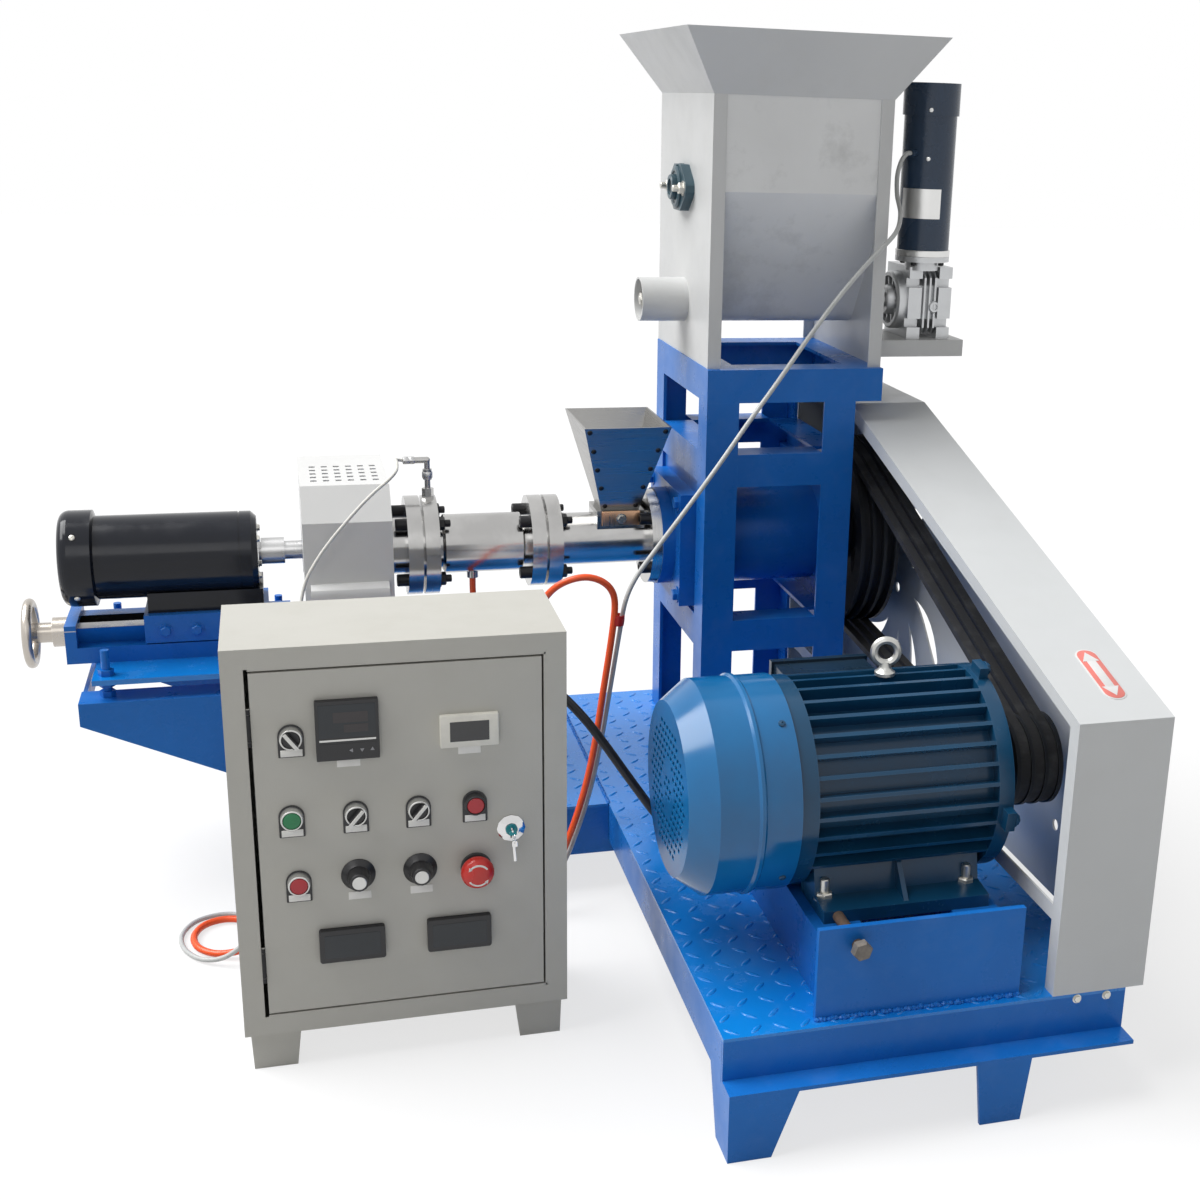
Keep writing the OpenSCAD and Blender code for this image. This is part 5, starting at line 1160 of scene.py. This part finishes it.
def addBearings(setup):
    quarter = setup["quarter"]
    outline = quarter + [(y, -z) for y, z in quarter[::-1]]
    outline += [(-y, -z) for y, z in quarter] + [(-y, z) for y, z in quarter[::-1]]
    thick, boss, bore, z = setup["thick"], setup["boss"], setup["bore"], setup["z"]
    bm = bmesh.new()
    studs = bmesh.new()
    for side in setup["sides"]:
        x, way, reach = side["x"], side["way"], side["reach"]
        spot = standing(at(x, 0, z), (0, way, 0), (0, 0, 1))
        slab(bm, spot, outline, thick)
        lathe(bm, spot, [(bore, thick - 1), (boss, thick - 1), (boss, thick + 3), (boss - 3, thick + 5),
                         (24, thick + 5), (23, thick + 3), (19, thick + 3), (18.5, reach - 1), (17.5, reach),
                         (bore, reach)], 40)
        lathe(bm, spot @ Matrix.Translation((0, boss * mm, 10 * mm)), setup["nipple"], 12)
        for y in (-setup["bolts"], setup["bolts"]):
            seat = facing(at(x + way * thick, y, z), (way, 0, 0), 10)
            if side["stud"]:
                studNut(studs, seat, setup["bolt"], side["stud"])
            else:
                hexBolt(studs, seat, setup["bolt"])
    bearings = newPiece("flange_bearings", bm, "machine", ["bearingGreen"])
    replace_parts(bearings, "agitator_bearings")
    newPiece("bearing_bolts", studs, "machine", ["boltZinc"])


# Two notched side plates with ribs between them, a ribbed cover towards the hopper and the motor's neck
def addCasing(setup, axis, axisZ):
    half, low, high = setup["half"], setup["low"], setup["high"]
    first, second, deep = setup["notch"]
    edge = [(low, 0), (low + first, 0), (low + first, deep), (low + second, deep), (low + second, 0)]
    edge += [(low + high - z, inward) for z, inward in edge[::-1]]
    outline = [(-half + inward, z) for z, inward in edge] + [(half - inward, z) for z, inward in edge[::-1]]
    bm = bmesh.new()
    for x, wide in setup["plates"]:
        slab(bm, standing(at(x, 0, 0), (0, 1, 0), (0, 0, 1)), outline, wide)
    x, wide, coreHalf = setup["core"]
    middle = (low + high) / 2
    blocks = [(x, wide, coreHalf, setup["coreCorner"], middle - low - setup["coreDrop"])]
    for x in setup["fins"]:
        blocks.append((x, setup["finThick"], setup["finHalf"], setup["finCorner"],
                       middle - low - setup["finDrop"]))
    for x, wide, reach, corner, tall in blocks:
        flat, shoulder = reach - corner, tall - corner
        upper = [(reach, shoulder), (flat, tall), (-flat, tall), (-reach, shoulder)]
        cut = upper + [(-y, -z) for y, z in upper]
        slab(bm, standing(at(x, 0, middle), (0, 1, 0), (0, 0, 1)), cut, wide)
    cover = setup["cover"]
    face = facing(at(cover["x"], 0, axisZ), (-1, 0, 0))
    lathe(bm, face, cover["outline"], 48)
    for i in range(cover["ribs"]):
        spot = face @ Matrix.Rotation(math.tau * i / cover["ribs"], 4, "Z")
        slab(bm, spot @ Matrix.Translation((0, 0, cover["ribLift"] * mm)), cover["rib"], cover["ribDeep"])
    plug, neck = setup["plug"], setup["neck"]
    spot = at(plug["x"], plug["inset"] - half, plug["z"])
    lathe(bm, facing(spot, (0, -1, 0)), plug["outline"], 20)
    lathe(bm, Matrix.Translation(at(*axis, 0)), neck["outline"], 40)
    casing = newPiece("worm_casing", bm, "machine", ["castAluminium"])
    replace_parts(casing, "feeder_gearbox")
    bm = bmesh.new()
    for i in range(4):
        turn = math.radians(45 + 90 * i)
        out = Vector((math.cos(turn), math.sin(turn), 0)) * neck["bolts"] * mm
        socketBolt(bm, facing(at(*axis, neck["boltZ"]) + out, (0, 0, -1)), *neck["bolt"])
    newPiece("gearbox_bolts", bm, "machine", ["boltBlack"])


def addFeederTrim(setup):
    x, y = setup["axis"]
    r = setup["radius"]
    label, band = setup["plate"], setup["ring"]
    bm = bmesh.new()
    spot = Matrix.Translation(at(x, y, label["z"]))
    thick = label["thick"]
    bow(bm, spot, r + thick / 2, thick * 1.6, label["tall"], label["start"], label["sweep"], 28)
    tall = band["tall"]
    lathe(bm, Matrix.Translation(at(x, y, band["z"])),
          [(r - 1, 0), (r + 1.5, 0), (r + 2.2, 1), (r + 2.2, tall - 1), (r + 1.5, tall), (r - 1, tall)], 48)
    turn = math.radians(setup["screwTurn"])
    out = Vector((math.cos(turn), math.sin(turn), 0))
    for z, reach in setup["screws"]:
        roundScrew(bm, facing(at(x, y, z) + out * (reach - 0.3) * mm, out), setup["screw"])
    newPiece("feeder_motor_plate", bm, "machine", ["plateSilver"])
    bm = bmesh.new()
    spot = facing(at(setup["nutX"], 0, setup["augerZ"]), (-1, 0, 0))
    studNut(bm, spot, setup["nutRadius"], setup["nutThread"])
    newPiece("auger_nut", bm, "auger", ["boltZinc"])


addBearings(bearingSetup)
addCasing(casingSetup, feederSetup["axis"], feederSetup["augerZ"])
addFeederTrim(feederSetup)
print("feeder dressed")


# Handle at the die cover's foot: a lip that curls over
lipSetup = {
    "x": (-582, -470),
    "section": [(-124, 474), (-137, 473), (-144, 469), (-147, 463), (-147, 455), (-144, 455), (-143, 462),
                (-139, 466.5), (-124, 468)],
}
# Feet of folded sheet: corner, ways of its two faces, the front face's height, its ends below, the side
# face's height, and how far both reach above
footSetup = {
    "base": {"slot": "frame_blue", "finish": "frameBlue", "node": "base_feet", "thick": 5,
             "feet": [(-163, -958, 1, 1, 84, 0, 53, 84, 84), (215, -958, -1, 1, 84, 9, 62, 84, 71),
                      (351, 219, -1, -1, 84, 0, 53, 84, 84), (-600, 219, 1, -1, 84, 0, 53, 84, 84),
                      (-600, -257, 1, 1, 64, 0, 53, 84, 84)]},
    "cabinet": {"slot": "cabinet_grey", "finish": "cabinetGrey", "node": "cabinet_feet", "thick": 4,
                "feet": [(-687, -637, 1, 1, 49, 2, 54, 49, 60), (-301, -637, -1, 1, 49, 2, 54, 49, 60),
                         (-687, -467, 1, -1, 49, 2, 54, 49, 60), (-301, -467, -1, -1, 49, 2, 54, 49, 60)]},
}
# Plates that close the base's open bar ends: corner, ways inward, and foot and top of the plate
endSetup = {"thick": 5, "wide": 40,
            "ends": [(-600, 219, 1, -1, 84, 135), (351, 219, -1, -1, 84, 135), (-600, -257, 1, 1, 84, 135)]}
# Sheet lip that narrows the gap beside the door, and black sleeves on the hinges that are painted shade
doorSetup = {
    "front": -641.8, "deep": 10, "wide": 2.4, "left": -664, "right": -319.5, "low": 73.5, "high": 527.5,
    "hinge": (-666, -642), "sleeve": (2.2, 2.5), "doorKnuckles": ((128.5, 34), (438.5, 34)),
    "frameKnuckles": ((122, 6), (163, 6), (432, 6), (473, 6)),
}


def addCoverLip(lip):
    bm = bmesh.new()
    left, right = lip["x"]
    slab(bm, standing(at(left, 0, 0), (0, 1, 0), (0, 0, 1)), lip["section"], right - left)
    newPiece("cover_lip", bm, "die_cover", ["coverWhiteLit"])


def addFeet(setups):
    for name, kind in setups.items():
        bm = bmesh.new()
        for x, y, wayX, wayY, tall, lowStart, lowEnd, sideTall, topEnd in kind["feet"]:
            thick = kind["thick"]
            face = [(lowStart, 0), (lowEnd, 0), (topEnd, tall), (0, tall)]
            side = [(thick, 0), (lowEnd, 0), (topEnd, sideTall), (thick, sideTall)]
            slab(bm, standing(at(x, y, 0), (wayX, 0, 0), (0, 0, 1)), face, thick * wayX * -wayY)
            fold = at(x + wayX * lowStart, y, 0)
            slab(bm, standing(fold, (0, wayY, 0), (0, 0, 1)), side, thick * wayX * wayY)
        folded = newPiece(name + "_folded_feet", bm, "machine", [kind["finish"]])
        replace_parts(folded, kind["node"])


def addEndPlates(setup):
    thick, wide = setup["thick"], setup["wide"]
    bm = bmesh.new()
    for x, y, wayX, wayY, low, high in setup["ends"]:
        outline = [(thick, low), (wide, low), (wide, high), (thick, high)]
        slab(bm, standing(at(x, y, 0), (0, wayY, 0), (0, 0, 1)), outline, thick * wayX * wayY)
    newPiece("bar_end_plates", bm, "machine", ["frameBlue"])


def addDoorTrim(door):
    wide, deep = door["wide"], door["deep"]
    bm = bmesh.new()
    for x, z, across, up in ((door["right"] - wide, door["low"], wide, door["high"] - door["low"]),
                             (door["left"], door["high"] - wide, door["right"] - door["left"], wide),
                             (door["left"], door["low"], door["right"] - door["left"], wide)):
        outline = [(0, 0), (across, 0), (across, up), (0, up)]
        slab(bm, standing(at(x, door["front"], z), (1, 0, 0), (0, 0, 1)), outline, -deep)
    newPiece("door_frame_lip", bm, "machine", ["cabinetGrey"])
    # The knuckles get black sleeves: painted shade, as they lie in the shadow of the door's gap
    inner, outer = door["sleeve"]
    for name, body, knuckles in (("door_hinge_shade_sleeves", "cabinet_door", door["doorKnuckles"]),
                                 ("frame_hinge_shade_sleeves", "machine", door["frameKnuckles"])):
        bm = bmesh.new()
        for z, long in knuckles:
            spot = Matrix.Translation(at(*door["hinge"], z))
            lathe(bm, spot, [(inner, 0), (outer, 0), (outer, long), (inner, long)], 20)
        newPiece(name, bm, body, ["boltBlack"])


addCoverLip(lipSetup)
addFeet(footSetup)
addEndPlates(endSetup)
addDoorTrim(doorSetup)
print("sheet trim added")


# Control panel, in mm from the cabinet's lower left corner; the legend strips stay blank
panelSetup = {
    "buttons": [("green_button", 70, 290.5, "capGreen", "bezelSilver"),
                ("upper_red_button", 286, 290, "capRed", "panelBlack"),
                ("lower_red_button", 74, 204.5, "capRed", "bezelSilver")],
    "selectors": [("mode_selector", 74, 393, 36), ("cutter_selector", 144, 289.5, -40),
                  ("feeder_selector", 218, 289.5, -40)],
    "dials": [("cutter_dial", 144, 207), ("feeder_dial", 218, 207)],
    "stop": (286, 202.5),
    "meters": [("left_meter", 94, 94, 79, 44), ("right_meter", 224, 94, 79, 44)],
    "controller": (102, 361, 73, 75),
    "display": (246, 366, 70, 41),
    "lock": (330, 251),
    "legend": (30, 41, 2), "legendDrop": 5.5, "strip": (25, 8.5, 0.5), "stripDrop": 20.5,
    "tag": (27, 10, 0.4),
    "collar": [(13.2, 0), (13.2, 8), (12.8, 11.4), (12.2, 12), (11, 12), (10.6, 11.2), (10.6, 8), (0, 8)],
    "dialKnob": [(14.2, 0), (12.6, 9), (12, 16.5), (11, 18), (9, 18.4), (0, 18.4)],
    "mushroom": [(0, 0), (17, 0), (20, 1.4), (20.6, 4.5), (20, 8.6), (17.6, 12.4), (13, 15), (7, 16.3),
                 (0, 16.7)],
}
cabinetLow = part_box("cabinet_box")[0]
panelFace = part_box("panel_meters")[1].y


def onPanel(x, z, out=0.0, turn=0.0):
    spot = Vector((cabinetLow.x + x * mm, panelFace - out * mm, cabinetLow.z + z * mm))
    upright = Matrix(((1, 0, 0), (0, 0, -1), (0, 1, 0))).to_4x4()
    return Matrix.Translation(spot) @ upright @ Matrix.Rotation(math.radians(turn), 4, "Z")


def panelPiece(name, bm, node, finishNames):
    piece = newPiece(name, bm, "cabinet_door", finishNames)
    if node:
        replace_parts(piece, node)


# Round-topped black plate with its blank strip, and the collar that stands on it
def legendAndCollar(bm, setup, x, z):
    wide = setup["legend"][0]
    plate(bm, onPanel(x, z - setup["legendDrop"]), setup["legend"], wide / 2 - 0.2, 1.2, 0.5, 0)
    plate(bm, onPanel(x, z - setup["stripDrop"], setup["legend"][2]), setup["strip"], 0.5, 0.5, 0.1, 1)
    lathe(bm, onPanel(x, z, setup["legend"][2] - 0.5), setup["collar"], 40, 2)


def addButtons(setup):
    for name, x, z, cap, collar in setup["buttons"]:
        bm = bmesh.new()
        legendAndCollar(bm, setup, x, z)
        lathe(bm, onPanel(x, z, 9), [(10.3, 0), (10.3, 3.6), (9.6, 4.6), (6, 5), (0, 5.1)], 40, 3)
        panelPiece(name, bm, "panel_buttons", ["panelBlack", "labelWhite", collar, cap])


def addSelectors(setup):
    for name, x, z, turn in setup["selectors"]:
        bm = bmesh.new()
        legendAndCollar(bm, setup, x, z)
        lathe(bm, onPanel(x, z, 9), [(10.4, 0), (10.4, 2.6), (9.8, 3.2), (0, 3.2)], 40, 0)
        plate(bm, onPanel(x, z, 11.5, turn), (7.6, 21, 9), 3, 3, 1.2, 0)
        plate(bm, onPanel(x, z, 20.3, turn), (4.4, 25, 0.9), 0.8, 0.8, 0.3, 1)
        panelPiece(name, bm, "panel_knobs", ["panelBlack", "labelWhite", "bezelSilver"])


def addDials(setup):
    for name, x, z in setup["dials"]:
        bm = bmesh.new()
        lathe(bm, onPanel(x, z), [(20.5, 0), (20.5, 1.6), (19.6, 2.6), (17, 5), (14.6, 8), (0, 8)], 48, 0)
        lathe(bm, onPanel(x, z, 7), setup["dialKnob"], 16, 0)
        lathe(bm, onPanel(x, z, 25), [(8.4, 0), (8.4, 0.9), (7.8, 1.4), (4, 1.5), (0, 1.5)], 32, 1)
        plate(bm, onPanel(x, z - 13.4, 10), (1.3, 5, 5.4), 0.3, 0.3, 0.2, 2)
        plate(bm, onPanel(x + 1, z - 28), setup["tag"], 0.5, 0.5, 0.1, 2)
        panelPiece(name, bm, "panel_knobs", ["panelBlack", "bezelSilver", "labelWhite"])


# Mushroom stop button with two pale turning arrows
def addStop(setup):
    x, z = setup["stop"]
    bm = bmesh.new()
    lathe(bm, onPanel(x, z), [(19, 0), (19, 2.4), (18, 3), (0, 3)], 40, 0)
    lathe(bm, onPanel(x, z, 2), [(14.5, 0), (14.5, 9), (15.5, 10.5), (0, 10.5)], 40, 0)
    lathe(bm, onPanel(x, z, 12), setup["mushroom"], 48, 1)
    reach, out, deep = 13.2, 25.8, 1.6
    for start in (35, 215):
        bow(bm, onPanel(x, z, out), reach, 2.0, deep, start, 100, 18, 2)
        end = start + 104
        tip = math.radians(end)
        disc(bm, onPanel(x + reach * math.cos(tip), z + reach * math.sin(tip), out, end + 90), 3, deep, 3, 2)
    panelPiece("stop_button", bm, "panel_buttons", ["panelBlack", "stopRed", "labelWhite"])


def addMeters(setup):
    for name, x, z, wide, tall in setup["meters"]:
        bm = bmesh.new()
        centre = (x + wide / 2, z + tall / 2)
        plate(bm, onPanel(*centre), (wide, tall, 8.4), 3.5, 3.5, 1.4, 0)
        plate(bm, onPanel(*centre, 8.2), (wide - 12, tall - 13, 0.6), 1.5, 1.5, 0.2, 1)
        panelPiece(name, bm, "panel_meters", ["panelBlack", "screenTint"])


# Temperature controller: tinted window with two digit rows, a bright line and three keys
def addController(setup):
    x, z, wide, tall = setup["controller"]
    cx, cz = x + wide / 2, z + tall / 2
    bm = bmesh.new()
    plate(bm, onPanel(cx, cz), (wide, tall, 8.6), 1.6, 1.6, 1.2, 0)
    plate(bm, onPanel(cx, cz + 12.5, 8.4), (wide - 7, tall * 0.55, 0.6), 0.8, 0.8, 0.2, 1)
    plate(bm, onPanel(cx, cz - 25, 8.4), (wide - 7, tall * 0.24, 0.5), 0.8, 0.8, 0.2, 0)
    plate(bm, onPanel(cx, cz - 11.5, 8.4), (wide - 8, 2.4, 0.9), 0.4, 0.4, 0.3, 2)
    for dx, dz, w, h in ((4, 17, 40, 13), (10, 3, 28, 10)):
        plate(bm, onPanel(cx + dx, cz + dz, 8.9), (w, h, 0.3), 0.8, 0.8, 0.1, 3)
    for dx, turn in ((4, 180), (16, -90), (28, 90)):
        disc(bm, onPanel(cx + dx, cz - 25, 8.7, turn), 2.7, 0.7, 3, 4)
    panelPiece("temperature_controller", bm, "panel_meters",
               ["panelBlack", "screenTint", "bezelSilver", "digitWindow", "keyGrey"])


def addDisplay(setup):
    x, z, wide, tall = setup["display"]
    cx, cz = x + wide / 2, z + tall / 2
    bm = bmesh.new()
    plate(bm, onPanel(cx, cz), (wide, tall, 7.5), 1.4, 1.4, 1.0, 0)
    plate(bm, onPanel(cx, cz, 7.3), (wide * 0.70, tall * 0.66, 0.5), 0.5, 0.5, 0.2, 0)
    plate(bm, onPanel(cx, cz, 7.6), (wide * 0.67, tall * 0.62, 0.4), 0.5, 0.5, 0.1, 1)
    panelPiece("voltage_display", bm, "panel_meters", ["meterCream", "screenGrey"])


def addTags(setup):
    bm = bmesh.new()
    for x, z, wide, tall in (setup["controller"], setup["display"]):
        plate(bm, onPanel(x + wide / 2, z - 6.5), setup["tag"], 0.5, 0.5, 0.1)
    panelPiece("blank_tags", bm, None, ["labelWhite"])


# Faceted lock with its key left in, a ring and a second key that hangs
def addLock(setup):
    x, z = setup["lock"]
    bm = bmesh.new()
    lathe(bm, onPanel(x, z), [(17.6, 0), (17.6, 1.6), (9.6, 5.6), (8.4, 5.6), (8.4, 4.6), (0, 4.6)], 12, 0)
    lathe(bm, onPanel(x, z, 4), [(7.4, 0), (7.4, 2.4), (6.6, 3), (0, 3)], 24, 1)
    plate(bm, onPanel(x, z, 6.5, 8), (2.4, 9, 12), 1, 1, 0.4, 0)
    plate(bm, onPanel(x, z, 12.5, 8), (9, 2.2, 9), 1, 1, 0.5, 1)
    ring(bm, onPanel(x + 1.5, z - 6, 18) @ Matrix.Rotation(math.pi / 2, 4, "Y"), 6.5, 0.7, 20, 0)
    plate(bm, onPanel(x + 1.5, z - 25, 16.5, 4), (3.4, 26, 1.6), 1.2, 0.6, 0.3, 0)
    plate(bm, onPanel(x + 2, z - 14, 15.8, 4), (7.5, 9, 3), 3, 2, 0.7, 0)
    panelPiece("lock_and_keys", bm, "door_lock", ["lockChrome", "keyTeal"])


for addFitting in (addButtons, addSelectors, addDials, addStop, addMeters, addController, addDisplay, addTags,
                   addLock):
    addFitting(panelSetup)
print("panel fitted")


# Nuts of the cable glands, at the cabinet's back and under the motor's box
glandSetup = {
    "cabinetBack": -462, "nutLength": 9,
    "cabinet": [(-365, 422, 13), (-600, 110, 10), (-655, 110, 7), (-560, 280, 5)],
    "motor": (60, -535, 342, 13),
}


def addGlandNuts(setup):
    bm = bmesh.new()
    long = setup["nutLength"]
    x, y, z, wide = setup["motor"]
    seats = [(facing(at(x, setup["cabinetBack"], z), (0, 1, 0)), wide) for x, z, wide in setup["cabinet"]]
    seats.append((facing(at(x, y, z), (0, 0, -1)), wide))
    for spot, wide in seats:
        r = wide / 2 + 8
        lathe(bm, spot, [(0, 0), (r, 0), (r, long - 1.5), (r - 1.5, long), (0, long)], 6)
    newPiece("gland_nuts", bm, "machine", ["panelBlack"])


addGlandNuts(glandSetup)


# The probe's knurled union and the ferrule on its arm
probeSetup = {
    "x": -399, "unionZ": 600, "elbowZ": 628, "armEnd": -433,
    "union": [(4.4, 0), (7.8, 0), (8.2, 1), (8.2, 9), (7.8, 10), (4.4, 10)],
    "ferrule": [(3, -3), (5.6, -2), (5.9, 0), (5.9, 6), (5.4, 7), (5.9, 8), (5.9, 14), (5.4, 15), (4.6, 15)],
}


def addProbeUnion(setup):
    bm = bmesh.new()
    lathe(bm, facing(at(setup["x"], 0, setup["unionZ"]), (0, 0, 1)), setup["union"], 18)
    lathe(bm, facing(at(setup["armEnd"], 0, setup["elbowZ"]), (1, 0, 0)), setup["ferrule"], 18)
    newPiece("probe_union", bm, "machine", ["shaftSteel"])


addProbeUnion(probeSetup)
print("glands and probe dressed")
